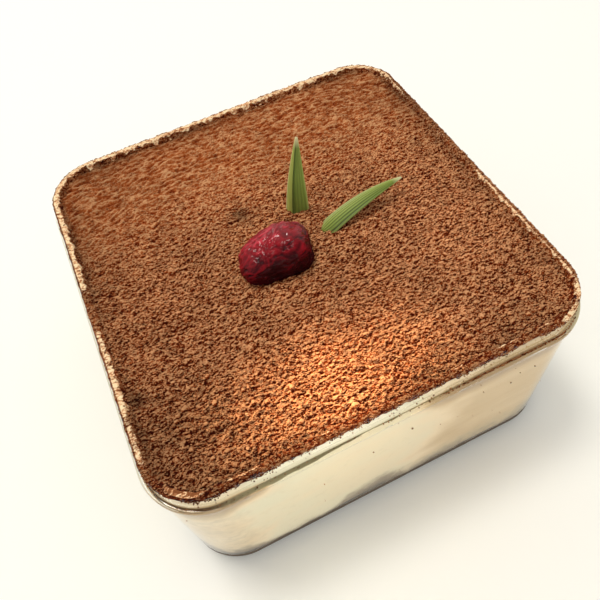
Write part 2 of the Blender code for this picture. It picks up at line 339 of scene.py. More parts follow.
@dataclass(frozen=True)
class CocoaPowder:
    """Sifted cocoa powder, damp enough to clump: dead matt, warm, dark in its hollows.

    Its colour carries painted light and shade: darker in its hollows, lighter on its peaks,
    and each clump lighter on its far side, as light from behind falls on it.
    Sizes are millimetres, the ramps run from hollows to peaks.
    """

    # painted shade: the ramp runs from dark hollows to light peaks
    powder: Stops = ((0.2, "430e00"), (0.4, "7c2d0c"), (0.59, "a85626"), (0.77, "d89e6e"))
    smear: Stops = ((0.2, "8a5230"), (0.4, "dc9c6b"), (0.62, "fde2b6"))
    clump: float = 0.8
    grain: float = 0.36
    stretch: float = 1.35
    slant: float = -4.0
    # painted light: a grain is lighter on its far side, against noise taken this far ahead
    far_side: float = 0.45
    painted_far_light: float = 0.95
    relief: float = 0.3
    patchy: float = 0.2
    patch_edge: tuple[float, float] = (0.36, 0.6)

    def make(self, name: str = "cocoa powder, sifted", smeared: bool = False
             ) -> bpy.types.Material:
        """Build the material.

        Args:
            name: what the powder is here.
            smeared: whether cream shows through where the piece's "cream" is high.

        Returns:
            The material; it reads the piece's "height", "tone" and "crisp", which carry its
            painted light and shade.
        """
        made, add, shader = start_finish(name)
        place = add("TexCoord").outputs["Object"]
        height, tone, crisp = (add("Attribute", attribute_name=label).outputs["Fac"]
                               for label in ("height", "tone", "crisp"))

        def field(size: float, ahead: float = 0.0) -> bpy.types.Node:
            """Add noise that is drawn out along x.

            Args:
                size: size of its grains.
                ahead: how far ahead in y it is taken, as a share of their size.

            Returns:
                The noise node.
            """
            drawn = add("Mapping", place, vector_type="TEXTURE",
                        location=(0, -ahead * size * MM, 0),
                        rotation=(0, 0, math.radians(self.slant)),
                        scale=(self.stretch, 1.0, 1.0))
            return add("TexNoise", drawn, scale=per_mm(size), detail=1.5, distortion=0.4)

        lumps, speck = field(self.clump), field(self.grain)
        # painted light: noise less the same noise taken further back lightens each grain's far
        # side
        far = add("Math", speck, field(self.grain, self.far_side), operation="SUBTRACT")
        side = add("Math", lumps, field(self.clump, self.far_side), operation="SUBTRACT")
        sides = add("Math", far, side, operation="ADD")
        tops = add("Math", speck, lumps, operation="ADD")
        rough = add("Math", sides, self.painted_far_light, tops, operation="MULTIPLY_ADD")
        middling = add("Math", rough, 1.0, operation="SUBTRACT")
        # painted shade: lift follows the piece's painted height, so the ramp darkens the
        # hollows
        lift = add("Math", middling, crisp, height, operation="MULTIPLY_ADD")
        shade = add("ValToRGB", lift, stops=self.powder)
        colour = add("VectorMath", shade, tone, operation="SCALE")
        if smeared:
            cream = add("Attribute", attribute_name="cream").outputs["Fac"]
            blend = add("ValToRGB", lift, stops=self.smear)
            patch = add("Math", middling, self.patchy, cream, operation="MULTIPLY_ADD")
            share = add("MapRange", patch, *self.patch_edge)
            colour = add("Mix", share, colour, blend, data_type="RGBA")
        relief = add("Bump", strength=1.0, distance=self.relief * MM, height=tops)
        feed(shader, base_color=colour, normal=relief, roughness=0.9,
             specular_ior_level=0.08)
        return made


@dataclass(frozen=True)
class ClearPet:
    """PET plastic, thermoformed: clean highlights on its roundings, clear elsewhere.

    The cream looks as if it lay at the very surface.  A line is painted on the ledge for the
    lid: thin and dark at the left corner and grey in the middle as painted shade of the ledge
    under the lip, brown with cocoa dust to the right and pale at the right corner.  A dark
    band at the foot is painted contact shadow, darkest at the bottom.
    Sizes are millimetres; a pair is where something starts and where it is full, and the
    line's colours run from one of its ends to the other.
    """

    clear: str = "fdfcf6"
    # colours of the ledge's line: cocoa dust, and painted shade where it is dark and grey
    ledge_dust_and_shade: Stops = ((0.02, "5d4632"), (0.1, "6f5c46"), (0.17, "a39978"), (0.4, "877d60"),
                   (0.6, "94865f"), (0.72, "8a6647"), (0.85, "8f7350"), (0.92, "d6caa8"))
    ledge_line_ends: tuple[float, float] = (-54.0, 66.0)
    ledge_line_half: float = 59.9
    ledge_line_fade: float = 0.2
    ledge_line_speckle: float = 12.0
    ragged: float = 0.9
    ledge: float = 55.5
    ledge_cover: tuple[float, float] = (0.26, 0.18)
    middle: float = -34.0
    narrow: tuple[float, float] = (8.0, 24.0)
    narrowed: float = 0.8
    corner: tuple[float, float] = (106.0, 111.0)
    widened: float = 1.4
    # painted contact shadow at the foot, from darkest at the bottom upwards
    coffee: Stops = ((0.3, "150e09"), (0.42, "4c423b"), (0.75, "6e6459"))
    coffee_top: float = 8.0
    foot: tuple[float, float] = (4.6, 4.0)
    lapped: float = 3.6
    tint_by: float = 0.12

    def make(self) -> bpy.types.Material:
        """Build the material, with a stand-in that lets lamps through.

        Returns:
            The material.
        """
        made, add, shader = start_finish("PET plastic, thermoformed")
        place = add("TexCoord").outputs["Object"]
        x, y, z = add("SeparateXYZ", place).outputs
        speck = add("TexNoise", place, scale=per_mm(0.8), detail=2.0)
        patches = add("TexNoise", place, scale=per_mm(5.0), detail=3.0)
        # how near to the ledge's top a place is; the painted line is thicker at the right
        # corner
        down = add("Math", z, self.ledge * MM, operation="SUBTRACT")
        away = add("Math", down, operation="ABSOLUTE")
        diagonal = add("Math", x, y, operation="SUBTRACT")
        corner = add("MapRange", diagonal, *metres(*self.corner, 0.0, -self.widened))
        nearer = add("Math", away, corner, operation="ADD")
        level = add("MapRange", nearer, *metres(*self.ledge_cover))
        # how far in from the ledge's edge it is; the painted line is widest left of the middle
        folded = add("VectorMath", place, operation="ABSOLUTE")
        centre = (*metres(CORNER_CENTRE, CORNER_CENTRE), 1.0)
        beyond = add("VectorMath", folded, centre, operation="SUBTRACT")
        outward = add("VectorMath", beyond, operation="MAXIMUM")
        reach = add("VectorMath", outward, operation="LENGTH")
        centred = add("Math", x, -self.middle * MM, operation="ADD")
        aside = add("Math", centred, operation="ABSOLUTE")
        narrow = add("MapRange", aside, *metres(*self.narrow, 0.0, self.narrowed))
        wider = add("Math", narrow, corner, operation="ADD")
        inward = add("Math", wider, reach, operation="ADD")
        ragged = add("Math", patches, -self.ragged * MM, inward, operation="MULTIPLY_ADD")
        edge = self.ledge_line_half - CORNER_CENTRE
        width = add("MapRange", ragged, *metres(edge, edge - self.ledge_line_fade))
        line = add("Math", level, width, operation="MULTIPLY")
        speckled = add("Math", speck, self.ledge_line_speckle * MM, x, operation="MULTIPLY_ADD")
        along = add("MapRange", speckled, *metres(*self.ledge_line_ends))
        # the ledge's line: cocoa dust to the right, painted shade at the left corner and in the
        # middle
        ledge_dust_and_shade = add("ValToRGB", along, stops=self.ledge_dust_and_shade)
        # painted contact shadow: a dark band at the foot, darkest at its bottom
        lapped = add("Math", patches, -self.lapped * MM, z, operation="MULTIPLY_ADD")
        foot = add("MapRange", lapped, *metres(*self.foot))
        depth = add("MapRange", z, *metres(0.0, self.coffee_top))
        coffee = add("ValToRGB", depth, stops=self.coffee)
        brown = add("Mix", foot, ledge_dust_and_shade, coffee, data_type="RGBA")
        cover = add("Math", line, foot, operation="MAXIMUM")
        tint = add("MapRange", cover, 0.0, self.tint_by)
        colour = add("Mix", tint, linear(self.clear), brown, data_type="RGBA")
        see = add("Math", 1.0, cover, operation="SUBTRACT")
        dull = add("MapRange", cover, to_min=0.06, to_max=0.7)
        gloss = add("MapRange", cover, to_min=0.5, to_max=0.0)
        feed(shader, base_color=colour, transmission_weight=see, roughness=dull,
             specular_ior_level=gloss, ior=1.45)
        lamps = add("BsdfTransparent", color=linear("fbf9f2"))
        shadow = add("LightPath").outputs["Is Shadow Ray"]
        feed(made.node_tree.nodes["Material Output"],
             surface=add("MixShader", shadow, shader, lamps))
        return made


@dataclass(frozen=True)
class Mascarpone:
    """Mascarpone cream pressed to the wall: ivory, satin, stained where coffee crept up, with
    painted contact shadow at the foot, painted shade under the ledge and painted light on the
    band.
    """

    # the palest cream is painted light on the band below the lip; the two tans are partly
    # painted shade
    cream: tuple[str, ...] = ("fdf9ea", "efead2", "f8e6c8", "dac197", "b89c76")
    cream_stops: tuple[float, ...] = (0.0, 0.25, 0.53, 0.78, 1.0)
    # the darkest stain is also painted contact shadow at the foot
    stain_and_shade: tuple[str, ...] = ("cfc4a6", "9d8b72", "3d3029")
    stain_and_shade_stops: tuple[float, ...] = (0.1, 0.45, 0.9)
    clean: float = 0.2

    def make(self, name: str = "mascarpone cream, whipped") -> bpy.types.Material:
        """Build the material.

        Args:
            name: what it is here.

        Returns:
            The material; it reads the piece's "soak" and "warm".
        """
        made, add, shader = start_finish(name)
        place = add("TexCoord").outputs["Object"]
        soak, warm = (add("Attribute", attribute_name=label).outputs["Fac"]
                      for label in ("soak", "warm"))
        level = add("Mapping", place, scale=(0.5, 0.5, 1.6))
        cloud = add("TexNoise", level, scale=per_mm(20.0), detail=3.0, distortion=0.5)
        fleck = add("TexNoise", place, scale=per_mm(2.6), detail=5.0)
        warmer = add("Math", cloud, 0.8, warm, operation="MULTIPLY_ADD")
        drift = add("MapRange", warmer, -0.1, 1.7)
        cream = add("ValToRGB", drift, stops=tuple(zip(self.cream_stops, self.cream)))
        creep = add("Math", fleck, 0.4, soak, operation="MULTIPLY_ADD")
        edge = add("Math", creep, self.clean, operation="SUBTRACT")
        stain_and_shade = add("ValToRGB", edge, stops=tuple(zip(self.stain_and_shade_stops, self.stain_and_shade)))
        cover = add("MapRange", edge, 0.03, 0.4)
        colour = add("Mix", cover, cream, stain_and_shade, data_type="RGBA")
        relief = add("Bump", strength=0.08, distance=0.3 * MM, height=fleck)
        feed(shader, base_color=colour, normal=relief, roughness=0.5, ior=1.4)
        return made


@dataclass(frozen=True)
class BerrySkin:
    """Skin of a thawed berry: wet and wrinkled, wine red; painted light makes it crimson on
    its ridges, top and back, and darker in its folds and low front, with a painted pink sheen.
    """

    # painted light: the ramp follows the painted height, from folds and low front to ridges,
    # top and back; its last stop is a painted pink sheen
    skin: Stops = ((0.2, "120204"), (0.55, "38050b"), (0.9, "90121d"), (1.0, "bb2f3d"))
    mottle: float = 3.0
    pucker: float = 0.9

    def make(self) -> bpy.types.Material:
        """Build the material.

        Returns:
            The material; it reads the piece's "height", which carries its painted light, and
            "wet".
        """
        made, add, shader = start_finish("berry skin, thawed")
        place = add("TexCoord").outputs["Object"]
        height, wet = (add("Attribute", attribute_name=label).outputs["Fac"]
                       for label in ("height", "wet"))
        mottle = add("TexNoise", place, scale=per_mm(self.mottle), detail=2.0)
        lift = add("Math", mottle, 0.6, height, operation="MULTIPLY_ADD")
        colour = add("ValToRGB", lift, stops=self.skin)
        along = add("Mapping", place, scale=(0.3, 1.0, 1.0))
        pucker = add("TexNoise", along, scale=per_mm(self.pucker), detail=2.0,
                     distortion=0.6)
        relief = add("Bump", strength=1.0, distance=0.45 * MM, height=pucker)
        feed(shader, base_color=colour, normal=relief, roughness=0.32, ior=1.42,
             specular_ior_level=0.06, coat_weight=wet, coat_roughness=0.07)
        return made


@dataclass(frozen=True)
class GrassBlade:
    """Fresh blade of a grass-like leaf: satin, striped by veins that run its length; its
    colours across the blade carry painted light and shade.
    """

    name: str
    # colours across the blade, with painted light and shade where its halves turn to the light
    across: Stops
    veins: int
    depth: float
    dry: str = "dcd3a4"

    def make(self) -> bpy.types.Material:
        """Build the material.

        Returns:
            The material; its UV map "blade" runs across the blade and along it.
        """
        made, add, shader = start_finish(self.name)
        uv = add("UVMap", uv_map="blade")
        across, along, _ = add("SeparateXYZ", uv).outputs
        stretch = add("Mapping", uv, scale=(12.0, 1.6, 1.0))
        fibre = add("TexNoise", stretch, scale=1.0, detail=2.0)
        wander = add("Math", fibre, 0.06, -0.03, operation="MULTIPLY_ADD")
        place = add("Math", across, wander, operation="ADD")
        # painted light and shade across the blade
        flesh_and_shade = add("ValToRGB", place, stops=self.across)
        angle = add("Math", place, 2 * math.pi * self.veins, -math.pi / 2,
                    operation="MULTIPLY_ADD")
        ridge = add("Math", angle, operation="SINE")
        uneven = add("Math", fibre, 1.6, ridge, operation="MULTIPLY_ADD")
        vein = add("MapRange", uneven, -0.2, 0.9, 1.0 - self.depth, 1.08)
        striped = add("VectorMath", flesh_and_shade, vein, operation="SCALE")
        tip = add("MapRange", along, 0.88, 1.0)
        colour = add("Mix", tip, striped, linear(self.dry), data_type="RGBA")
        relief = add("Bump", strength=0.6, distance=0.12 * MM, height=uneven)
        feed(shader, base_color=colour, normal=relief, roughness=0.42, ior=1.42)
        return made


@dataclass(frozen=True)
class MattSheet:
    """Matt white card, faintly mottled, for the table under the tub."""

    white: str = "fdfcf6"

    def make(self) -> bpy.types.Material:
        """Build the material.

        Returns:
            The material.
        """
        made, add, shader = start_finish("card, matt white")
        place = add("TexCoord").outputs["Object"]
        pulp = add("TexNoise", place, scale=per_mm(3.0), detail=2.0)
        relief = add("Bump", strength=0.05, distance=0.1 * MM, height=pulp)
        feed(shader, base_color=linear(self.white), normal=relief, roughness=0.9,
             specular_ior_level=0.2)
        return made


# ---- the tub --------------------------------------------------------------------------
@dataclass
class Tub:
    """The open shell of clear plastic, with the seat and the ledge that its lid needs.

    Sizes are millimetres, half sides are outer ones.  The neck is how far below the lip
    the flare starts, the crease the rounding where the band meets the ledge.
    """

    height: float = 61.0
    rim_half: float = 59.0
    rim_round: float = 0.45
    lip_width: float = 2.0
    lip_thickness: float = 1.1
    band_height: float = 5.5
    band_flare: float = 0.3
    ledge_width: float = 1.2
    ledge_height: float = 1.5
    ledge_round: float = 0.35
    wall_half: float = 59.7
    draft: float = 0.2
    wall: float = 0.9
    base_fillet: float = 4.0
    neck: float = 1.4
    crease: float = 0.12
    wall_rows: int = 15
    corner_segments: int = 18
    flat_cuts: int = 23
    ripple: float = 0.05
    ripple_length: float = 24.0
    ripple_top: float = 50.0

    def band_half(self, height: float) -> float:
        """Half side of the flared band at a height."""
        share = (self.height - self.neck - height) / (self.band_height - self.neck - 1.0)
        return self.rim_half + self.band_flare * min(max(share, 0.0), 1.0)

    def quarter(self, half: float, height: float, radius: float, start: float,
                end: float) -> list[tuple[float, float]]:
        """Stations along an arc.

        Args:
            half: the arc's centre, as a half side.
            height: the arc's centre height.
            radius: its radius.
            start: its first angle in degrees, 0 out and 90 up.
            end: its last angle.

        Returns:
            Half sides and heights, both ends with them.
        """
        steps = max(3, round(radius * 2.2))
        turns = [math.radians(start + (end - start) * i / steps) for i in range(steps + 1)]
        return [(half + radius * math.cos(t), height + radius * math.sin(t)) for t in turns]

    def outside(self) -> list[tuple[float, float]]:
        """Stations of the outside, from the underside up over the lip.

        Returns:
            Half sides and heights in millimetres.
        """
        foot = self.wall_half - self.draft
        band = self.rim_half + self.band_flare
        ledge = band + self.ledge_width
        top = self.height - self.band_height
        bottom = top - self.ledge_height
        turn = self.ledge_round
        rise = [i / self.wall_rows for i in range(1, self.wall_rows)]
        wall = [(foot + self.draft * share,
                 self.base_fillet + (bottom - self.base_fillet) * share) for share in rise]
        fillet = self.base_fillet
        return (self.quarter(foot - fillet, fillet, fillet, -90, 0)
                + wall + [(self.wall_half, bottom - 0.3), (self.wall_half + 0.2, bottom)]
                + self.quarter(ledge - turn, bottom + turn, turn, -90, 0)
                + self.quarter(ledge - turn, top - turn, turn, 0, 90)
                + [(band + self.crease, top), (band, top + self.crease), (band, top + 1.0),
                   (self.rim_half, self.height - self.neck)]
                + self.quarter(self.rim_half - self.rim_round, self.height - self.rim_round,
                               self.rim_round, 0, 90))

    def inside_half(self, height: float) -> float:
        """Half side of the hollow at a height, under the lip.

        Args:
            height: the height, in millimetres.

        Returns:
            The half side in millimetres.
        """
        shelf = self.height - self.band_height - self.ledge_height
        wall = self.wall_half - self.wall
        if height >= shelf:
            return self.rim_half + self.band_flare - self.wall
        foot = wall - self.draft
        radius = self.base_fillet - self.wall
        if height < self.base_fillet:
            sunk = (self.base_fillet - height) / radius
            return foot - radius + radius * math.sqrt(max(1 - sunk * sunk, 0.0))
        return foot + self.draft * (height - self.base_fillet) / (shelf - self.base_fillet)

    def inside(self) -> list[tuple[float, float]]:
        """Stations of the inside, from the lip's inner edge down to the floor.

        Returns:
            Half sides and heights in millimetres.
        """
        lip = self.rim_half - self.lip_width
        under = self.height - self.lip_thickness
        shelf = self.height - self.band_height - self.ledge_height
        top = shelf - 0.4
        levels = [top - (top - self.base_fillet) * i / self.wall_rows
                  for i in range(self.wall_rows)]
        foot = self.wall_half - self.wall - self.draft
        radius = self.base_fillet - self.wall
        return (self.quarter(lip + self.rim_round, self.height - self.rim_round,
                             self.rim_round, 90, 180)
                + [(lip, under + 0.15), (lip + 0.15, under),
                   (self.inside_half(shelf), under - 0.1), (self.inside_half(shelf), shelf)]
                + [(self.inside_half(level), level) for level in levels]
                + self.quarter(foot - radius, self.base_fillet, radius, 0, -90))

    def build(self) -> bpy.types.Object:
        """Grow the shell ring by ring from its underside and dress it.

        Returns:
            The piece.
        """
        stations = self.outside() + self.inside()
        bm = start_ring(self.rim_half, self.corner_segments, self.flat_cuts)
        face = bm.faces[:][0]
        place_ring(face.verts, *stations[0])
        for number, station in enumerate(stations[1:]):
            below = face
            grown = bmesh.ops.extrude_face_region(bm, geom=[below])
            face = fresh(grown, bmesh.types.BMFace)[0]
            if number and below.is_valid:
                bmesh.ops.delete(bm, geom=[below], context="FACES_ONLY")
            place_ring(face.verts, *station)
        for vert in bm.verts:
            if self.base_fillet < vert.co.z / MM < self.ripple_top:
                ripple = noise.noise(vert.co / (self.ripple_length * MM)) * self.ripple * MM
                vert.co.xy *= 1 + ripple / vert.co.xy.length
        return hand_in(finish_mesh("tub_shell", bm), ClearPet().make(), "clear_plastic", "tub")


# ---- the filling ----------------------------------------------------------------------
@dataclass
class Filling:
    """Soaked sponge below and mascarpone above, pressed a little into the tub's wall.

    Sizes are millimetres.  The coffee's rise is how high it usually crept; a pair is where
    something starts and where it is full.
    """

    tub: Tub
    bite: float = 0.18
    sponge_top: float = 4.6
    sponge_wave: float = 1.3
    sponge_least: float = 2.4
    floor: float = 0.75
    shoulder: float = 59.95
    under_cocoa: float = 58.3
    cells: int = 104
    rows: int = 46
    sponge_rows: int = 10
    coffee_rise: float = 5.0
    # painted contact shadow: heights at which the cream turns darkest towards the foot
    foot_contact_shade: tuple[float, float] = (5.0, 2.0)
    # painted shade under the ledge at the left front
    ledge_shade_left: tuple[float, float] = (-36.0, -47.0)
    ledge_shade_below: tuple[float, float] = (54.0, 48.0)
    # tan towards the left end and towards the right; to the right it is partly painted shade
    tan_left: tuple[float, float] = (-35.0, -47.0)
    tan_right: tuple[float, float] = (-4.0, 26.0)
    # painted shade under the ledge, and painted light on the band below the lip
    shade_under_ledge: tuple[float, float] = (44.0, 53.0)
    band: tuple[float, float] = (55.0, 56.5)
    mounds: tuple[Hill, ...] = (
        (3.6, (-14, -60), 11), (2.6, (31, -60), 14), (1.8, (-48, -58), 7))
    climbs: tuple[Hill, ...] = (
        (13.5, (-5, -60), 15), (15.0, (31, -60), 20), (8.0, (-47, -60), 6),
        (15.0, (-58, -52), 7), (5.0, (-30, -60), 7), (10.0, (52, -57), 9))
    strengths: tuple[Hill, ...] = ((0.1, (-8, -60), 12), (-0.5, (31, -60), 17))

    def sponge_level(self, x: float, y: float) -> float:
        """Top of the sponge at a place, in millimetres."""
        level = self.sponge_top + self.sponge_wave * wave(x, y, 17, 3.1)
        return max(level + hills(x, y, self.mounds), self.sponge_least)

    def soak(self, x: float, y: float, z: float) -> float:
        """How dark the cream is at a place: coffee that crept up from the sponge, with painted
        contact shadow at the foot and painted shade under the ledge at the left front;
        0 is clean cream, 1 is the darkest.

        Args:
            x: place in millimetres.
            y: place in millimetres.
            z: height in millimetres.

        Returns:
            A share from 0 to 1.
        """
        rise = self.coffee_rise + hills(x, y, self.climbs)
        rise += 2.0 * wave(x + z, y, 9, 5.0) + 0.6 * wave(x, y + z, 2.5, 6.0)
        strength = 0.85 + 0.3 * wave(x, y, 12, 9.0) + hills(x, y, self.strengths)
        dark = max(1 - z / max(rise, 1.5), 0.0) ** 0.8 * strength
        # painted contact shadow at the foot
        dark += 0.8 * step(*self.foot_contact_shade, z)
        # painted shade under the ledge at the left front
        dark += 0.16 * (step(*self.ledge_shade_left, x) * step(*FRONT_WALL, y)
                        * step(*self.ledge_shade_below, z))
        return min(dark, 1.0)

    def warmth_and_shade(self, x: float, y: float, z: float) -> float:
        """How warm the cream is at a place: peach in the middle of the front, tan beside, to
        the right partly painted shade, with painted shade under the ledge and painted light on
        the band below the lip.

        Args:
            x: place in millimetres.
            y: place in millimetres.
            z: height in millimetres.

        Returns:
            About 0 for pale cream and 1 for tan.
        """
        x += 5 * wave(z, x, 15, 33.0) + 2 * wave(z, x, 5, 34.0)
        middle = 0.32 * math.exp(-((x + 8) / 26) ** 2 - ((z - 34) / 18) ** 2)
        # tan beside the middle: to the right partly painted shade
        warm = max(middle, 0.85 * step(*self.tan_right, x) + 0.5 * step(*self.tan_left, x))
        # painted shade under the ledge
        under = step(*self.shade_under_ledge, z) * step(56.0, 55.0, z)
        warm += under * (1.2 * step(-26.0, -36.0, x) + 0.6 * step(0.0, 14.0, x))
        # painted light: paler cream on the band below the lip
        warm -= 0.6 * step(*self.band, z) * math.exp(-((x + 12) / 20) ** 2)
        return warm * step(*FRONT_WALL, y)

    def mark(self, bm: bmesh.types.BMesh) -> None:
        """Write "soak" and "warm" on every point.

        Args:
            bm: the mesh.
        """
        for name, field in (("soak", self.soak), ("warm", self.warmth_and_shade)):
            layer = bm.verts.layers.float.new(name)
            for vert in bm.verts:
                vert[layer] = field(*(vert.co / MM))

    def pull_edge(self, bm: bmesh.types.BMesh, stations: Iterable[Station]) -> None:
        """Draw the open edge of a grid along rings and close it with one face.

        Args:
            bm: mesh with one open edge.
            stations: for each ring, a function of x and y that gives half side and height.
        """
        edges = [edge for edge in bm.edges if edge.is_boundary]
        for station in stations:
            made = bmesh.ops.extrude_edge_only(bm, edges=edges)
            edges = fresh(made, bmesh.types.BMEdge)
            for vert in fresh(made, bmesh.types.BMVert):
                place_ring([vert], *station(vert.co.x / MM, vert.co.y / MM))
        bmesh.ops.edgeloop_fill(bm, edges=edges)

    def wall_half(self, height: float) -> float:
        """Half side of the filling at a height: just inside the plastic."""
        return self.tub.inside_half(height) + self.bite

    def station(self, end: float, share: float, x: float, y: float) -> tuple[float, float]:
        """Station on the way from the sponge's top to a height.

        Args:
            end: that height, in millimetres.
            share: share of the way, from 0 to 1.
            x: place in millimetres.
            y: place in millimetres.

        Returns:
            Half side and height in millimetres.
        """
        level = self.sponge_level(x, y)
        level += (end - level) * share
        return self.wall_half(max(level, self.tub.wall)), level

    def edge_grid(self) -> bmesh.types.BMesh:
        """Grid on the sponge's top, its edge just inside the wall.

        Returns:
            The new bmesh.
        """
        bm = rounded_grid(self.cells, self.wall_half(self.sponge_top))
        for vert in bm.verts:
            x, y = vert.co.xy / MM
            vert.co.z = self.sponge_level(x, y) * MM
        for vert in [v for v in bm.verts if v.is_boundary]:
            level = vert.co.z / MM
            place_ring([vert], self.wall_half(level), level)
        return bm

    def build_cream(self) -> bpy.types.Object:
        """Cream from the sponge's top to a shoulder under the lip.

        Returns:
            The piece.
        """
        bm = self.edge_grid()
        lip = self.tub.rim_half - self.tub.lip_width
        rings = [partial(self.station, self.shoulder, i / self.rows)
                 for i in range(1, self.rows + 1)]
        rings.append(lambda x, y: (lip + 0.25, self.shoulder))
        rings.append(lambda x, y: (lip + 0.1, self.shoulder - 0.2))
        rings.append(lambda x, y: (lip + 0.1, self.under_cocoa))
        self.pull_edge(bm, rings)
        self.mark(bm)
        return hand_in(finish_mesh("cream_body", bm), Mascarpone().make(), "mascarpone",
                       "cream")

    def build_sponge(self) -> bpy.types.Object:
        """Sponge from the tub's floor up to the cream.

        Returns:
            The piece.
        """
        bm = self.edge_grid()
        self.pull_edge(bm, [partial(self.station, self.floor, i / self.sponge_rows)
                            for i in range(1, self.sponge_rows + 1)])
        self.mark(bm)
        sponge = Mascarpone(cream=("9c8d74", "9c8d74", "877862", "877862", "6f6250"),
                            stain_and_shade=("75684f", "544838", "332b22"))
        return hand_in(finish_mesh("sponge_body", bm), sponge.make("sponge, soaked in coffee"),
                       "soaked_sponge", "sponge_base")


# ---- cocoa ----------------------------------------------------------------------------
@dataclass
class CocoaTop:
    """The cocoa: a heap of clumps on gentle waves, banked round the berry.

    Sizes are millimetres; a pair is where something starts and where it is full.
    """

    half: float = 57.12
    cells: int = 308
    bottom: float = 58.2
    least: float = 58.75
    berry: tuple[float, float] = (-7.3, -6.4)
    berry_reach: tuple[float, float] = (10.2, 7.0)
    coarse: float = 1.3
    fine: float = 0.72
    streak: float = 1.0
    reach: float = 0.3
    coarser: tuple[float, float] = (44.0, -8.0)
    crisper: tuple[float, float] = (40.0, -8.0)
    pale_back: tuple[float, float] = (-12.0, 34.0)
    forms: tuple[Hill, ...] = (
        (-1.2, (-54.5, -28), 1.8), (-0.8, (9.0, -3.0), 2.4), (0.7, (-42.5, -40), 2.6),
        (0.8, (-50.5, -46), 2.4))
    # tints of the cocoa; the last one darkens the pit at the left: painted shade in the pit
    tints: tuple[Hill, ...] = (
        (-0.22, (-46, -46), 22), (0.1, (4, 38), 28), (0.12, (44, -12), 24),
        (-0.6, (-9.4, 14.0), 2.8), (-0.5, (-54.5, -28), 2.2))

    def flow(self, x: float, y: float) -> tuple[float, float]:
        """Place along and across the strokes in which the cocoa was sifted."""
        return x - 0.1 * y, y + 0.08 * x + 0.0017 * x * x

    def level(self, x: float, y: float) -> float:
        """Smooth height of the cocoa at a place, without its clumps.

        Args:
            x: place in millimetres.
            y: place in millimetres.

        Returns:
            The height in millimetres.
        """
        along, across = self.flow(x, y)
        level = COCOA_LEVEL + 0.36 * wave(x, y, 23, 7.7)
        level += 0.2 * wave(x, y, 9, 1.3) + 0.24 * wave(along / 2.2, across, 4.6, 5.2)
        level -= 0.35 * math.exp(-max(57.0 - max(abs(x), abs(y)), 0.0) / 5.0)
        away = math.hypot((x - self.berry[0]) / self.berry_reach[0],
                          (y - self.berry[1]) / self.berry_reach[1])
        level += 0.5 * math.exp(-((away - 1.3) / 0.22) ** 2)
        return level + hills(x, y, self.forms)

    def rough(self, x: float, y: float) -> float:
        """How clumped the cocoa is: fine at the back, coarse at the front left."""
        return 0.46 + 0.54 * step(*self.coarser, y) + 0.3 * bump(x, y, (-42, -44), 24)

    def base(self, y: float) -> float:
        """Middle of the cocoa's range of shades: paler and yellower at the back."""
        return 0.53 + 0.11 * step(*self.pale_back, y)

    def crisp(self, x: float, y: float) -> float:
        """How strongly light and dark differ in the cocoa: least at the back and left.

        Args:
            x: place in millimetres.
            y: place in millimetres.

        Returns:
            The strength, 1 being usual.
        """
        strong = 0.22 + 1.14 * step(*self.crisper, y) - 0.26 * bump(x, y, (-8, -50), 22)
        strong += 0.4 * bump(x, y, (-44, -46), 16)
        return strong * (0.84 + 0.16 * step(-50.0, -20.0, x))

    def clumps(self, x: float, y: float) -> float:
        """Relief of the clumps at a place.

        Args:
            x: place in millimetres.
            y: place in millimetres.

        Returns:
            From about -0.6 to 0.7 millimetres.
        """
        along, across = self.flow(x, y)
        rough = self.rough(x, y)
        bend = Vector((wave(x, y, 2.6, 4.0), wave(x, y, 2.6, 14.0), 0)) * 0.2
        patch = rough * (1.1 + 0.6 * wave(x, y, 8, 17.0))
        total = max(1.3 - rough, 0.0) * (0.38 * wave(along / 2.4, across, self.streak, 21.0)
                                         + 0.14 * wave(along / 2.0, across, 3.1, 22.0))
        for size, tall, seed in ((self.coarse, 0.36 * patch, 0.3),
                                 (self.fine, 0.12 + 0.36 * rough, 5.7)):
            where = Vector((along / 1.7, across, 0)) / size + bend
            where.z = seed
            total += tall * (min(abs(noise.noise(where)) * 2.6, 1.0) - 0.5)
        return total

    def height(self, x: float, y: float) -> float:
        """Height of the clumped surface at a place, in millimetres."""
        edge = step(0.0, 1.2, 57.0 - max(abs(x), abs(y)))
        return max(self.level(x, y) + self.clumps(x, y) * (0.35 + 0.65 * edge), self.least)

    def tone(self, x: float, y: float) -> float:
        """How light the cocoa is at a place.

        Args:
            x: place in millimetres.
            y: place in millimetres.

        Returns:
            The lightness, 1 being usual.
        """
        # painted shade: the cocoa is darker within a few millimetres of the wall, where the lip
        # shades it
        edge = math.exp(-max(56.5 - max(abs(x), abs(y)), 0.0) / 4.5)
        tone = 1.02 - 0.3 * edge + 0.08 * wave(x, y, 16, 8.0) + 0.07 * wave(x, y, 3.2, 18.0)
        tone -= 0.06 * step(-10.0, -50.0, x) + 0.19 * step(*self.pale_back, y)
        return tone + hills(x, y, self.tints)

    def build(self) -> bpy.types.Object:
        """Raise the grid into clumps, and close it below.

        Returns:
            The piece.
        """
        bm = rounded_grid(self.cells, self.half)
        height = bm.verts.layers.float.new("height")
        tone = bm.verts.layers.float.new("tone")
        crisp = bm.verts.layers.float.new("crisp")
        for vert in bm.verts:
            x, y = vert.co.xy / MM
            vert.co.z = self.height(x, y) * MM
            sharp = self.crisp(x, y)
            here = self.clumps(x, y)
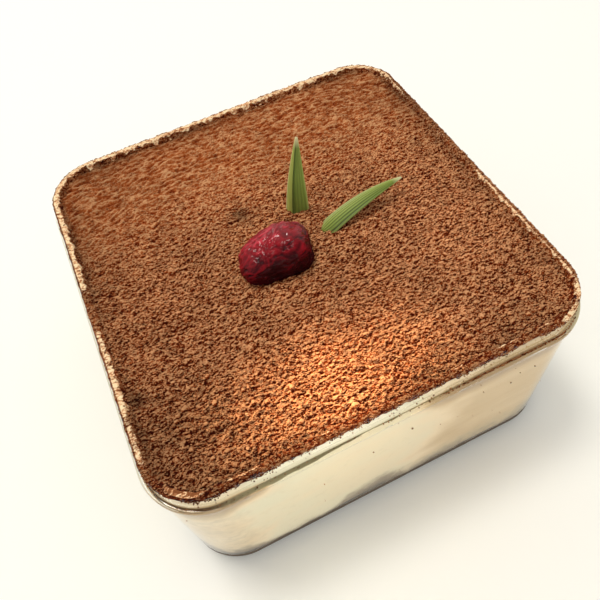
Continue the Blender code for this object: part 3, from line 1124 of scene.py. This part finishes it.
            # painted light and shade: "height" darkens the hollows and lightens each clump's
            # far side, as light from behind falls
            far = self.clumps(x, y - self.reach) - self.clumps(x, y + self.reach)
            relief = (here * 0.6 + far * 0.4) * (0.48 + 0.52 * sharp)
            vert[height] = min(max(self.base(y) + relief, 0.0), 1.0)
            vert[tone] = self.tone(x, y)
            vert[crisp] = sharp
        edges = [edge for edge in bm.edges if edge.is_boundary]
        made = bmesh.ops.extrude_edge_only(bm, edges=edges)
        for vert in fresh(made, bmesh.types.BMVert):
            vert.co.z = self.bottom * MM
        bmesh.ops.edgeloop_fill(bm, edges=fresh(made, bmesh.types.BMEdge))
        return hand_in(finish_mesh("cocoa_top", bm, sharp=180), CocoaPowder().make(),
                       "cocoa_powder", "cocoa")


@dataclass
class RimCrust:
    """Cream and cocoa that stayed on the lip: pale at the back and left, brown in front.

    Sizes are millimetres; a pair is where something starts and where it is full.
    """

    tub: Tub
    cocoa: CocoaTop
    inner: float = 56.1
    outer: float = 59.08
    rows: int = 13
    corner_segments: int = 46
    flat_cuts: int = 200
    body: float = 0.22
    drop: float = 0.95
    sunk: float = 0.7
    inside: float = 0.7
    overhang: float = 0.35
    left: tuple[float, float] = (-50.0, -55.0)
    right: tuple[float, float] = (52.0, 55.0)
    back: tuple[float, float] = (50.0, 55.0)
    blobs: tuple[Hill, ...] = ((0.9, (-51, -55), 4.5), (0.7, (58, -44), 6))

    def share(self, x: float, y: float) -> float:
        """How far out a place lies on the lip.

        Args:
            x: place in millimetres.
            y: place in millimetres.

        Returns:
            0 at the inner edge, 1 at the outer one.
        """
        beyond = (max(abs(x) - CORNER_CENTRE, 0.0), max(abs(y) - CORNER_CENTRE, 0.0))
        half = CORNER_CENTRE + math.hypot(*beyond)
        return (half - self.inner) / (self.outer - self.inner)

    def surface(self, x: float, y: float) -> float:
        """Height of the crust's top at a place.

        Args:
            x: place in millimetres.
            y: place in millimetres.

        Returns:
            The height in millimetres.
        """
        share = self.share(x, y)
        ragged = 0.1 * wave(x, y, 2.4, 51.0)
        low = self.cocoa.height(x, y) - 0.25
        front = step(*FRONT_LIP, y)
        lumps = 0.6 * wave(x, y, 1.1, 52.0) + 0.5 * wave(x, y, 2.6, 53.0)
        lumps *= 0.4 + 0.6 * front
        high = self.tub.height + self.body * (1 + 0.9 * front) * (1 + lumps)
        top = low + (high - low) * step(0.02 + ragged, 0.36 + ragged, share)
        outside = max(share - 0.8 - 0.06 * wave(x, y, 1.7, 56.0), 0.0) / 0.2
        hang = 1.1 + 0.3 * wave(x, y, 1.3, 58.0) + 0.3 * front * wave(x, y, 3.4, 59.0)
        return top - self.drop * hang * outside * outside

    def cream(self, x: float, y: float) -> float:
        """How much cream shows at a place; along the front crest a pale line is a painted
        highlight.

        Args:
            x: place in millimetres.
            y: place in millimetres.

        Returns:
            About 0 for none and 1 for cream alone.
        """
        share = self.share(x, y)
        left = step(*self.left, x) * step(-64.0, -30.0, y) * (1 - 0.3 * step(8.0, -24.0, y))
        back = step(*self.back, y)
        right = step(*self.right, x) * max(0.9 * step(-44.0, -20.0, y) * step(-1.0, -11.0, y),
                                          0.55 * step(12.0, 44.0, y), 0.15)
        amount = max(left, back, right) * (1 - 0.75 * bump(x, y, (-58, 2), 12))
        amount *= 1 - 0.8 * step(-50.0, -56.0, y)
        front = step(*FRONT_LIP, y)
        amount += hills(x, y, self.blobs)
        # painted highlight: a pale line along the crest of the front crust
        amount += 0.42 * front * math.exp(-((share - 0.42) / 0.1) ** 2) * (
            0.75 + 0.8 * wave(x, y, 5, 62.0))
        bare = front * step(42.0, 52.0, x)
        amount += 0.6 * bare * step(0.5, 0.72, share)
        amount += 0.22 * wave(x, y, 4.5, 54.0) + 0.07 * wave(x, y, 1.5, 57.0)
        spread = step(0.2, 0.42, share + 0.12 * wave(x, y, 1.6, 55.0))
        edge = 0.86 - 0.22 * step(*self.right, x) * step(50.0, 40.0, y) + 0.4 * bare
        return amount * spread * step(edge, edge - 0.1, share)

    def ring(self, bm: bmesh.types.BMesh, edges: list[bmesh.types.BMEdge],
             half: float) -> list[bmesh.types.BMEdge]:
        """Pull a ring of edges out to a half side.

        Args:
            bm: mesh that the ring belongs to.
            edges: the ring.
            half: half side of the new ring, in millimetres.

        Returns:
            The new ring, on the crust's surface.
        """
        grown = bmesh.ops.extrude_edge_only(bm, edges=edges)
        for vert in fresh(grown, bmesh.types.BMVert):
            place_ring([vert], half, 0.0)
            vert.co.z = self.surface(*(vert.co.xy / MM)) * MM
        return fresh(grown, bmesh.types.BMEdge)

    def build(self) -> bpy.types.Object:
        """Grow a ring from row to row over the lip, and close it inside the plastic.

        Returns:
            The piece.
        """
        bm = start_ring(self.tub.rim_half, self.corner_segments, self.flat_cuts)
        bmesh.ops.delete(bm, geom=bm.faces[:], context="FACES_ONLY")
        edges = bm.edges[:]
        place_ring(bm.verts, self.inner, COCOA_LEVEL - self.sunk - 0.5)
        for i in range(self.rows + 1):
            edges = self.ring(bm, edges, self.inner + (self.outer - self.inner) * i / self.rows)
        level = self.tub.height - self.inside
        for half in (self.outer - self.overhang,
                     self.tub.rim_half - self.tub.lip_width + 0.2):
            edges = self.ring(bm, edges, half)
            place_ring({vert for edge in edges for vert in edge.verts}, half, level)
        bmesh.ops.bridge_loops(bm, edges=[edge for edge in bm.edges if edge.is_boundary])
        layers = [bm.verts.layers.float.new(name)
                  for name in ("height", "tone", "crisp", "cream")]
        for vert in bm.verts:
            x, y = vert.co.xy / MM
            front = step(*FRONT_LIP, y)
            lift = 0.52 + 0.2 * wave(x, y, 1.1, 52.0) - 0.26 * bump(x, y, (-51, -55), 6)
            # lower on the inner front crust: darker powder, and a peach painted highlight there
            lift -= 0.16 * front * step(0.6, 0.5, self.share(x, y))
            # painted shade: the outer slope of the front crust is darker
            ridge = front * step(0.5, 0.65, self.share(x, y))
            values = (lift, self.cocoa.tone(x, y) * (1 - 0.22 * ridge), 0.6, self.cream(x, y))
            for layer, value in zip(layers, values):
                vert[layer] = value
        finish = CocoaPowder().make("cocoa powder, smeared with cream", smeared=True)
        return hand_in(finish_mesh("rim_crust", bm, sharp=180), finish, "cocoa_powder")


class Dust(Enum):
    """Kinds of loose grains: name of the piece, how many, sizes in millimetres, seed."""

    GRAINS = ("cocoa_grains", 24000, 0.28, 0.5, 17)
    CRUMBS = ("cocoa_crumbs", 24000, 0.36, 0.6, 11)
    LUMPS = ("cocoa_lumps", 4200, 0.5, 0.85, 20)
    CLODS = ("cocoa_clods", 110, 0.9, 1.8, 12)
    EDGE = ("edge_crumbs", 3200, 0.35, 0.85, 16)
    LIP = ("lip_dust", 3600, 0.25, 0.6, 13)
    LEDGE = ("ledge_dust", 1300, 0.18, 0.46, 14)
    SPILL = ("spilled_dust", 700, 0.2, 0.5, 19)
    WALL = ("wall_specks", 190, 0.16, 0.34, 15)
    FRONT = ("front_specks", 16, 0.28, 0.62, 18)

    def __init__(self, piece: str, count: int, small: float, large: float, seed: int
                 ) -> None:
        """Name what a kind's value holds.

        Args:
            piece: name of its piece.
            count: how many grains.
            small: width of the smallest, in millimetres.
            large: width of the largest, in millimetres.
            seed: seed of its random numbers.
        """
        self.piece, self.count, self.seed = piece, count, seed
        self.small, self.large = small, large

    def gather(self, draw: Callable[[np.random.Generator], Place | None]) -> np.ndarray:
        """Draw places until there is one for each grain.

        Args:
            draw: gives x, y and z in millimetres, or None where no grain stays.

        Returns:
            One row of x, y, z for each grain.
        """
        rng = np.random.default_rng(self.seed + 100)
        rows = []
        while len(rows) < self.count:
            row = draw(rng)
            if row:
                rows.append(row)
        return np.array(rows)


@dataclass
class Grains:
    """Loose grains of cocoa, each kind joined into one piece.

    A high skew makes most grains small; unlike is how much their tones differ.
    """

    cocoa: CocoaTop
    crust: RimCrust
    tub: Tub
    skew: float = 1.8
    unlike: float = 0.12
    cocoa_half: float = 56.4
    clear_round: tuple[float, float] = (9.4, 6.6)
    heaps: tuple[Hill, ...] = ((1.0, (-42, -42), 14), (1.4, (30, -45), 6), (0.5, (48, -12), 9))

    def copies(self, name: str, count: int, detail: int) -> tuple[bpy.types.Mesh, int]:
        """Many copies of one round grain at the origin.

        Args:
            name: name of the mesh.
            count: number of copies.
            detail: subdivisions of the grain; 0 gives eight faces.

        Returns:
            The joined mesh, and the points of one grain.
        """
        bm = bmesh.new()
        if detail:
            bmesh.ops.create_icosphere(bm, subdivisions=detail, radius=1.0)
        else:
            bmesh.ops.create_uvsphere(bm, u_segments=4, v_segments=2, radius=1.0)
        points = len(bm.verts)
        grain = bpy.data.meshes.new(name + "_one")
        bm.to_mesh(grain)
        bm.free()
        holder = add_object(name + "_one", grain)
        array = holder.modifiers.new("Copies", "ARRAY")
        array.count = count
        array.use_relative_offset = False
        array.use_constant_offset = True
        array.constant_offset_displace = (0, 0, 0)
        ready = holder.evaluated_get(bpy.context.evaluated_depsgraph_get())
        mesh = bpy.data.meshes.new_from_object(ready)
        bpy.data.objects.remove(holder)
        mesh.name = name
        return mesh, points

    def scatter(self, dust: Dust, places: np.ndarray, flat: float = 0.8,
                detail: int = 1, jag: float = 0.32, crisp: float = 1.0,
                drawn: float = 1.0) -> bpy.types.Object:
        """Put a grain at each place.

        Args:
            dust: the kind of grain.
            places: millimetres, one row of x, y, z for each grain.
            flat: height of a grain as a share of its width.
            detail: subdivisions of a grain.
            jag: how far its points stand in or out, as a share of its radius.
            crisp: how much finer grain shows on it, 1 being usual.
            drawn: how far it is drawn out along x.

        Returns:
            The piece.
        """
        rng = np.random.default_rng(dust.seed)
        count = len(places)
        mesh, points = self.copies(dust.piece, count, detail)
        row = np.zeros(count * points * 3, np.float32)
        mesh.vertices.foreach_get("co", row)
        shape = row.reshape(count, points, 3).astype(float)
        shape *= rng.uniform(0.95 - jag, 0.95 + jag, (count, points, 1))
        turn = rng.normal(size=(count, 4))
        turn /= np.linalg.norm(turn, axis=1, keepdims=True)
        w, i, j, k = turn.T
        spin = np.stack([
            1 - 2 * (j * j + k * k), 2 * (i * j - k * w), 2 * (i * k + j * w),
            2 * (i * j + k * w), 1 - 2 * (i * i + k * k), 2 * (j * k - i * w),
            2 * (i * k - j * w), 2 * (j * k + i * w), 1 - 2 * (i * i + j * j)], axis=1)
        shape *= rng.uniform(0.75, 1.25, (count, 1, 3))
        shape = np.einsum("nab,npb->npa", spin.reshape(count, 3, 3), shape)
        shape *= (drawn, 1 / drawn, flat)
        size = dust.small + (dust.large - dust.small) * rng.random(count) ** self.skew
        shape *= size[:, None, None] / 2
        shape += places[:, None, :]
        mesh.vertices.foreach_set("co", (shape * MM).astype(np.float32).ravel())
        tones = rng.normal(1.0, self.unlike, count).clip(0.6, 1.35)
        tones *= [self.cocoa.tone(x, y) for x, y, _ in places]
        crisps = np.array([self.cocoa.crisp(x, y) for x, y, _ in places])
        # painted light: each grain is lighter on its top and far side and darker below; its
        # tone also carries the cocoa's painted shade near the wall
        lean = (shape - places[:, None, :]) / size[:, None, None] * crisps[:, None, None]
        up = lean[:, :, 2] + 0.8 * lean[:, :, 1]
        bases = np.array([self.cocoa.base(y) for _, y, _ in places])[:, None]
        for label, values in (("tone", np.repeat(tones, points)),
                              ("crisp", np.repeat(crisps * crisp, points)),
                              ("height", (bases + up * 0.8).clip(0, 1).ravel())):
            attribute = mesh.attributes.new(label, "FLOAT", "POINT")
            attribute.data.foreach_set("value", values.astype(np.float32))
        mesh.shade_smooth()
        mesh.update()
        finish = CocoaPowder().make("cocoa powder, " + dust.piece)
        return hand_in(add_object(dust.piece, mesh), finish, "cocoa_powder")

    def thick(self, dust: Dust, x: float, y: float) -> float:
        """How densely one kind lies on the cocoa at a place.

        Args:
            dust: the kind of grain.
            x: place in millimetres.
            y: place in millimetres.

        Returns:
            The density, 1 at most.
        """
        if dust is Dust.CLODS:
            heaps = hills(x, y, self.heaps) + 0.4 * step(-49.0, -54.0, y)
            return 0.02 + 0.98 * min(heaps, 1.0)
        return 0.2 + 0.8 * step(44.0, -6.0, y)

    def on_cocoa(self, dust: Dust, lift: float, rng: np.random.Generator) -> Place | None:
        """Place on the cocoa, denser towards the front.

        Args:
            dust: the kind of grain.
            lift: how far the grain's middle lies above the surface.
            rng: source of random numbers.

        Returns:
            x, y and z in millimetres, or None where no grain stays.
        """
        x, y = rng.uniform(-self.cocoa_half, self.cocoa_half, 2)
        corner = math.hypot(max(abs(x) - CORNER_CENTRE, 0), max(abs(y) - CORNER_CENTRE, 0))
        if corner > self.cocoa_half - CORNER_CENTRE:
            return None
        away = math.hypot((x - self.cocoa.berry[0]) / self.clear_round[0],
                          (y - self.cocoa.berry[1]) / self.clear_round[1])
        if away < 1.0:
            return None
        chance = (0.7 + 0.3 * wave(x, y, 7, 31.0)) * self.thick(dust, x, y)
        return None if rng.random() > chance else (x, y, self.cocoa.height(x, y) + lift)

    def round_edge(self, along: float, half: float) -> tuple[float, float]:
        """Point on a rounded square at a share of the way round it.

        Args:
            along: from 0 to 1, anticlockwise from the middle of the right side.
            half: half side in millimetres.

        Returns:
            x and y in millimetres.
        """
        radius = half - CORNER_CENTRE
        arc = radius * math.pi / 2
        side = 2 * CORNER_CENTRE
        quarter, left = divmod((along % 1.0) * 4 * (side + arc), side + arc)
        turn = quarter * math.pi / 2
        if left < CORNER_CENTRE:
            x, y = half, left
        elif left < CORNER_CENTRE + arc:
            bend = (left - CORNER_CENTRE) / radius
            x = CORNER_CENTRE + radius * math.cos(bend)
            y = CORNER_CENTRE + radius * math.sin(bend)
        else:
            x, y = CORNER_CENTRE - (left - CORNER_CENTRE - arc), half
        return (x * math.cos(turn) - y * math.sin(turn),
                x * math.sin(turn) + y * math.cos(turn))

    def on_edge(self, rng: np.random.Generator) -> Place | None:
        """Place along the lip's inner edge, where the cocoa spills onto it.

        Args:
            rng: source of random numbers.

        Returns:
            x, y and z in millimetres, or None where no grain stays.
        """
        x, y = self.round_edge(rng.random(), 57.0 + rng.uniform(-1.3, 1.0))
        spill = 0.45 + 0.25 * wave(x, y, 3, 47.0) - 0.15 * step(-30.0, -52.0, y)
        if self.crust.share(x, y) < spill and rng.random() > self.crust.cream(x, y):
            return x, y, max(self.crust.surface(x, y), self.cocoa.height(x, y))
        return None

    def on_lip(self, rng: np.random.Generator) -> Place | None:
        """Place on the lip, thick where its crust is brown.

        Args:
            rng: source of random numbers.

        Returns:
            x, y and z in millimetres, or None where no grain stays.
        """
        x, y = self.round_edge(rng.random(), rng.uniform(57.2, 58.85))
        bare = 1 - 0.65 * step(*FRONT_LIP, y)
        if rng.random() < max(0.9 - 2.2 * self.crust.cream(x, y), 0.01) * bare:
            return x, y, self.crust.surface(x, y) + rng.uniform(-0.05, 0.1)
        return None

    def on_ledge(self, rng: np.random.Generator) -> Place | None:
        """Place on the ledge: a brown line that starts right of the middle.

        Args:
            rng: source of random numbers.

        Returns:
            x, y and z in millimetres, or None where no grain stays.
        """
        level = self.tub.height - self.tub.band_height
        x, y = self.round_edge(rng.random(), rng.uniform(59.35, 59.8))
        chance = 0.04 + step(6.0, 30.0, x) * step(54.0, 48.0, x) * step(*FRONT_WALL, y)
        if rng.random() < chance * (0.7 + 0.5 * wave(x, y, 4, 43.0)):
            return x, y, level + 0.02
        return None

    def on_band(self, rng: np.random.Generator) -> Place | None:
        """Place on the band under the lip, thickest at its top and in front.

        Args:
            rng: source of random numbers.

        Returns:
            x, y and z in millimetres, or None where no grain stays.
        """
        level = self.tub.height - 0.5 - min(rng.exponential(0.55), 3.5)
        x, y = self.round_edge(rng.random(), self.tub.band_half(level) + 0.05)
        chance = 0.1 + 0.9 * step(-40.0, -56.0, y)
        if rng.random() < chance * (0.4 + 0.9 * wave(x, y, 4, 61.0)):
            return x, y, level
        return None

    def on_wall(self, rng: np.random.Generator) -> Place | None:
        """Place of a speck on the seat or the wall, thicker to the right.

        Args:
            rng: source of random numbers.

        Returns:
            x, y and z in millimetres, or None where no grain stays.
        """
        on_band = rng.random() < 0.7
        z = rng.uniform(56.0, 60.0) if on_band else rng.uniform(8.0, 52.0)
        half = self.tub.band_half(z) if on_band else self.tub.wall_half
        x, y = self.round_edge(rng.random(), half + 0.03)
        return (x, y, z) if rng.random() < 0.35 + 0.65 * step(-40.0, 40.0, x) else None

    def front_specks(self) -> np.ndarray:
        """Places of the few dark specks that stand out on the front.

        Returns:
            One row of x, y, z for each.
        """
        wall = -self.tub.wall_half
        on_band = [(x, -self.tub.band_half(z) - 0.15, z) for x, z in (
            (9.7, 57.3), (9.1, 56.7), (-2.2, 58.0), (14.4, 56.6), (-32.6, 59.0), (5.1, 57.4))]
        return np.array(on_band + [
            (-53.4, -59.3, 55.6), (-39.7, -60.2, 54.6), (13.8, -59.8, 55.6),
            (-20.8, wall, 34.2), (-6.4, wall, 39.8), (4.8, wall, 43.0), (37.4, wall, 43.9),
            (35.4, wall, 39.9), (42.1, wall, 43.5), (26.2, wall, 43.2)])

    def build(self) -> None:
        """Scatter every kind."""
        on_cocoa = ((Dust.GRAINS, 0.08, {"detail": 0, "drawn": 1.25}),
                    (Dust.CRUMBS, 0.04, {"detail": 0, "drawn": 1.25}),
                    (Dust.LUMPS, 0.0, {"drawn": 1.1}),
                    (Dust.CLODS, 0.15, {"detail": 2, "jag": 0.18, "crisp": 0.6}))
        for dust, lift, looks in on_cocoa:
            places = dust.gather(partial(self.on_cocoa, dust, lift))
            self.scatter(dust, places, **looks)
        elsewhere = ((Dust.EDGE, self.on_edge, 0.8), (Dust.LIP, self.on_lip, 0.7),
                     (Dust.LEDGE, self.on_ledge, 0.6), (Dust.SPILL, self.on_band, 0.8),
                     (Dust.WALL, self.on_wall, 1.0))
        for dust, draw, flat in elsewhere:
            self.scatter(dust, dust.gather(draw), flat=flat)
        self.scatter(Dust.FRONT, self.front_specks(), flat=1.0, detail=2)


# ---- the garnish ----------------------------------------------------------------------
@dataclass
class Berry:
    """One thawed red berry on its side, its skin slack and folded."""

    length: float = 20.4
    width: float = 14.0
    height: float = 13.0
    bluntness: float = 3.0
    taper: float = 0.1
    slump: float = 1.7
    turn: float = -6.0
    lean: float = -7.0
    segments: int = 168
    rings: int = 110
    glossy: tuple[tuple[float, Place], ...] = (
        (0.7, (0.62, 0.35, 0.7)), (0.25, (-0.7, 0.1, 0.7)))

    def spin(self, bm: bmesh.types.BMesh, degrees: float, axis: str) -> None:
        """Turn the berry about an axis through its middle."""
        bmesh.ops.rotate(bm, verts=bm.verts, cent=(0, 0, 0),
                         matrix=Matrix.Rotation(math.radians(degrees), 3, axis))

    def folds(self, point: Vector) -> float:
        """Relief of the folds of the skin.

        Args:
            point: a point of the unit sphere.

        Returns:
            From about -1 to 1.
        """
        bend = Vector([noise.noise(point * 2.0 + Vector(shift))
                       for shift in ((0, 0, 0), (9, 0, 0), (0, 9, 0))])
        where = Vector((point.x * 1.7, point.y * 3.8, point.z * 3.8)) + bend * 1.2
        total = 0.0
        for share, scale, seed in ((0.4, 1.0, 0.0), (0.35, 1.9, 5.0), (0.25, 3.4, 11.0)):
            ridge = 1 - abs(noise.noise(where * scale + Vector((seed, seed, 0)))) * 3.6
            total += share * max(ridge, -1.0) * (1.0 if ridge < 0 else ridge ** 0.5)
        return total

    def build(self) -> bpy.types.Object:
        """Shape a sphere into the slumped berry and fold its skin.

        Returns:
            The piece.
        """
        bm = bmesh.new()
        bmesh.ops.create_uvsphere(bm, u_segments=self.segments, v_segments=self.rings,
                                  radius=1.0)
        self.spin(bm, 90.0, "Y")
        height = bm.verts.layers.float.new("height")
        wet = bm.verts.layers.float.new("wet")
        for vert in bm.verts:
            point = vert.co.copy()
            square = sum(abs(value) ** self.bluntness for value in point)
            square **= -1 / self.bluntness
            fold = wave(point.x * 1.1, point.y * 1.5, 0.85, 2.0 + point.z)
            dent = wave(point.y * 1.3 + 4.0, point.z * 1.2, 0.6, 8.0 + point.x)
            crease = self.folds(point)
            radius = square * (0.97 + 0.035 * fold + 0.02 * dent + 0.05 * crease)
            end = point.x * square
            width = 1.0 + self.taper * end
            vert.co = Vector((point.x * radius * self.length / 2,
                              point.y * radius * width * self.width / 2
                              - self.slump * (1 - end) ** 2 / 4,
                              point.z * radius * width * self.height / 2)) * MM
            # painted light: lighter on the ridges, top, back and left end, darker in the folds
            # and low front
            lit = 0.24 + 0.25 * crease + 0.26 * point.z + 0.18 * point.y
            lit += 0.1 * max(-point.x, 0.0)
            vert[height] = min(max(lit, 0.0), 1.0)
            vert[wet] = 0.04 + sum(
                gloss * step(0.6, 0.95, point.dot(Vector(facing)))
                for gloss, facing in self.glossy)
        self.spin(bm, self.lean, "Y")
        self.spin(bm, self.turn, "Z")
        settle(bm, "red_berry")
        return hand_in(finish_mesh("berry_body", bm, sharp=180), BerrySkin().make(),
                       "berry_skin", "red_berry")


@dataclass
class Leaf:
    """A leaf blade: a strip with a midrib, veins and a thin even thickness."""

    name: str
    node: str
    slot: str
    finish: GrassBlade
    spine: Callable[[float], Vector]
    across: Callable[[float, float], Vector]
    thickness: float = 0.26
    columns: int = 42
    stations: int = 44
    ribs: int = 7
    rib_height: float = 0.03

    def build(self) -> bpy.types.Object:
        """Bend a grid along the spine, raise its veins and give it thickness.

        Returns:
            The piece.
        """
        bm = bmesh.new()
        bmesh.ops.create_grid(bm, x_segments=self.columns, y_segments=self.stations, size=1.0)
        layer = bm.loops.layers.uv.new("blade")
        for loop in (loop for face in bm.faces for loop in face.loops):
            loop[layer].uv = loop.vert.co.xy * 0.5 + Vector((0.5, 0.5))
        ribs = [math.cos(vert.co.x * math.pi * self.ribs) for vert in bm.verts]
        for vert in bm.verts:
            side, along = vert.co.x, vert.co.y * 0.5 + 0.5
            vert.co = (self.spine(along) + self.across(along, side)) * MM
        bm.normal_update()
        for vert, rib in zip(bm.verts, ribs):
            vert.co += vert.normal * rib * self.rib_height * MM
        settle(bm, self.node)
        piece = finish_mesh(self.name, bm, sharp=60)
        shell = piece.modifiers.new("Thickness", "SOLIDIFY")
        shell.thickness = self.thickness * MM
        shell.offset = 0.0
        shell.use_even_offset = False
        return hand_in(piece, self.finish.make(), self.slot, self.node)


@dataclass
class Garnish:
    """The berry and its two leaf blades."""

    upright_foot: Vector = Vector((4.1, 7.0, 56.6))
    upright_tip: Vector = Vector((9.0, 9.9, 83.98))
    leaning_foot: Vector = Vector((8.9, -2.6, 59.3))
    leaning_rise: Vector = Vector((21.0, -2.2, 67.4))
    leaning_tip: Vector = Vector((35.3, -0.6, 65.2))
    tip_half: float = 0.22
    upright_sides: tuple[tuple[float, float], ...] = ((2.8, 112.0), (4.7, -8.0))
    leaning_half: float = 2.7

    def heading(self, degrees: float) -> Vector:
        """Level direction at an angle from +X."""
        return Vector((math.cos(math.radians(degrees)), math.sin(math.radians(degrees)), 0))

    def blade_width(self, along: float) -> float:
        """Share of the full width from foot (0) to tip (1)."""
        return max(1 - along ** 1.35, 0.0) ** 0.9

    def upright_spine(self, along: float) -> Vector:
        """Midrib of the standing blade, bowed a little."""
        bow = self.heading(200.0) * 0.6 * math.sin(math.pi * along)
        return self.upright_foot.lerp(self.upright_tip, along) + bow

    def upright_across(self, along: float, side: float) -> Vector:
        """Sideways reach of the standing blade, folded along its midrib.

        Args:
            along: from foot (0) to tip (1).
            side: from one edge (-1) to the other (1).

        Returns:
            The way from the midrib, in millimetres.
        """
        full, turn = self.upright_sides[side > 0]
        reach = abs(side) * (full * self.blade_width(along) + self.tip_half)
        return self.heading(turn) * reach

    def leaning_spine(self, along: float) -> Vector:
        """Midrib of the blade that leans out in a low arch.

        Args:
            along: from foot (0) to tip (1).

        Returns:
            The place in millimetres.
        """
        first = self.leaning_foot.lerp(self.leaning_rise, along)
        last = self.leaning_rise.lerp(self.leaning_tip, along)
        return first.lerp(last, along)

    def leaning_across(self, along: float, side: float) -> Vector:
        """Sideways reach of the leaning blade, its edges a little lower.

        Args:
            along: from foot (0) to tip (1).
            side: from one edge (-1) to the other (1).

        Returns:
            The way from the midrib, in millimetres.
        """
        run = (self.leaning_tip - self.leaning_foot).normalized()
        out = run.cross(Vector((0, 0, 1))).normalized()
        blunt = math.sqrt(max(1 - (1 - min(along / 0.13, 1)) ** 2, 0.0)) * 0.7 + 0.3
        full = self.leaning_half * max(1 - along ** 2.1, 0.0) ** 0.9 * blunt
        return out * side * (full + self.tip_half) - Vector((0, 0, 0.4 * full * side * side))

    def build(self) -> None:
        """Make the berry and both blades."""
        Berry().build()
        # painted light and shade: the half left of the midrib lighter and the crease of the
        # fold dark
        dark = GrassBlade("leaf blade, deep green", across=(
            (0.0, "dcdda2"), (0.08, "b4be62"), (0.4, "9ba850"), (0.48, "304518"),
            (0.56, "677c33"), (0.94, "7c9040"), (1.0, "b0ba6e")), veins=9, depth=0.16)
        # painted light and shade: lighter on one half and darker on the other as light falls on
        # the arch, with a painted highlight along the edge at 1.0
        pale = GrassBlade("leaf blade, pale green", across=(
            (0.0, "b8c27c"), (0.3, "95a447"), (0.6, "7b8c36"), (0.92, "62762a"),
            (1.0, "9da758")), veins=7, depth=0.66)
        Leaf("blade_standing", "leaf_upright", "leaf_dark", dark, self.upright_spine,
             self.upright_across).build()
        Leaf("blade_leaning", "leaf_leaning", "leaf_light", pale, self.leaning_spine,
             self.leaning_across).build()


# ---- camera, floor and light ----------------------------------------------------------
@dataclass
class Studio:
    """White table, soft light from above and behind, and the camera."""

    aim: Vector = Vector((-7.1, -21.3, 60.0))
    distance: float = 157.6
    azimuth: float = 17.9
    elevation: float = 56.06
    roll: float = -9.04
    lens: float = 36.145
    sky: float = 0.71
    beam_power: float = 23.5
    beams: tuple[tuple[float, float], ...] = (
        (-35, 0.45), (-23, 0.75), (-11, 1.0), (1, 0.8), (13, 0.5))

    def build_camera(self) -> None:
        """Look down at the tub from its front left."""
        turn, rise = math.radians(self.azimuth), math.radians(self.elevation)
        ahead = Vector((math.sin(turn) * math.cos(rise), math.cos(turn) * math.cos(rise),
                        -math.sin(rise)))
        level = Vector((math.cos(turn), -math.sin(turn), 0))
        tilt = math.radians(self.roll)
        right = level * math.cos(tilt) + level.cross(ahead) * math.sin(tilt)
        up = right.cross(ahead)
        data = bpy.data.cameras.new("camera")
        data.lens = self.lens
        data.sensor_width = 36.0
        data.clip_start = 0.01
        camera = add_object("camera", data)
        axes = Matrix((right, up, -ahead)).transposed().to_4x4()
        camera.matrix_world = Matrix.Translation((self.aim - ahead * self.distance) * MM) @ axes
        bpy.context.scene.camera = camera

    def add_light(self, name: str, kind: str, place: Sequence[float],
                  aim: Sequence[float], colour: str, **settings: float | str) -> None:
        """Add a light.

        Args:
            name: its name.
            kind: "AREA" or "SPOT".
            place: where it stands, in metres.
            aim: the point that it faces, in metres.
            colour: its colour as a hex value.
            settings: other attributes of the light and their values.
        """
        data = bpy.data.lights.new(name, kind)
        data.color = linear(colour)[:3]
        for key, value in settings.items():
            setattr(data, key, value)
        light = add_object(name, data)
        light.location = place
        light.visible_camera = False
        way = Vector(aim) - Vector(place)
        light.rotation_euler = way.to_track_quat("-Z", "Y").to_euler()

    def build(self) -> None:
        """Lay the table, light it and set the camera."""
        scene = bpy.context.scene
        scene.view_settings.view_transform = "Standard"
        bm = bmesh.new()
        bmesh.ops.create_grid(bm, x_segments=1, y_segments=1, size=4.0)
        bmesh.ops.translate(bm, verts=bm.verts, vec=(0, 0, -0.05 * MM))
        table = finish_mesh("table", bm)
        table.data.materials.append(MattSheet().make())
        world = bpy.data.worlds.new("white room")
        world.use_nodes = True
        scene.world = world
        sky = world.node_tree.nodes["Background"]
        sky.inputs["Color"].default_value = linear("fffefa")
        sky.inputs["Strength"].default_value = self.sky
        self.add_light("softbox", "AREA", (-0.16, 0.2, 1.0), (0, 0, 0.03), "fffaf2",
                       energy=3.7, size=0.24)
        self.add_light("back", "AREA", (-0.2, 0.95, 0.5), (0, 0, 0.06), "fffaf2",
                       energy=1.1, size=0.45)
        self.add_light("reflector", "AREA", (-0.05, -0.45, 0.045), (-0.01, -0.06, 0.03),
                       "fffaf0", energy=0.42, shape="RECTANGLE", size=0.5, size_y=0.06)
        for number, (across, share) in enumerate(self.beams):
            glow = Vector((across, -48.5, 60)) * MM
            self.add_light(f"warm_beam_{number}", "SPOT", glow + Vector((-0.05, 0.36, 0.28)),
                           glow, "ffdcae", energy=self.beam_power * share, spot_blend=1.0,
                           spot_size=math.radians(2.9), shadow_soft_size=0.006)
        band = Vector((-15, -59, 57)) * MM
        self.add_light("front_glow", "SPOT", band + Vector((-0.05, -0.36, 0.34)), band,
                       "fff6e0", energy=2.6, spot_blend=1.0, spot_size=math.radians(4.2),
                       shadow_soft_size=0.02)
        self.build_camera()


def main() -> None:
    """Build every piece in order."""
    logging.basicConfig(level=logging.INFO, format="%(message)s")
    Studio().build()
    tub = Tub()
    tub.build()
    filling = Filling(tub)
    filling.build_sponge()
    filling.build_cream()
    cocoa = CocoaTop()
    cocoa.build()
    crust = RimCrust(tub, cocoa)
    crust.build()
    Grains(cocoa, crust, tub).build()
    Garnish().build()


if __name__ == "__main__":
    main()
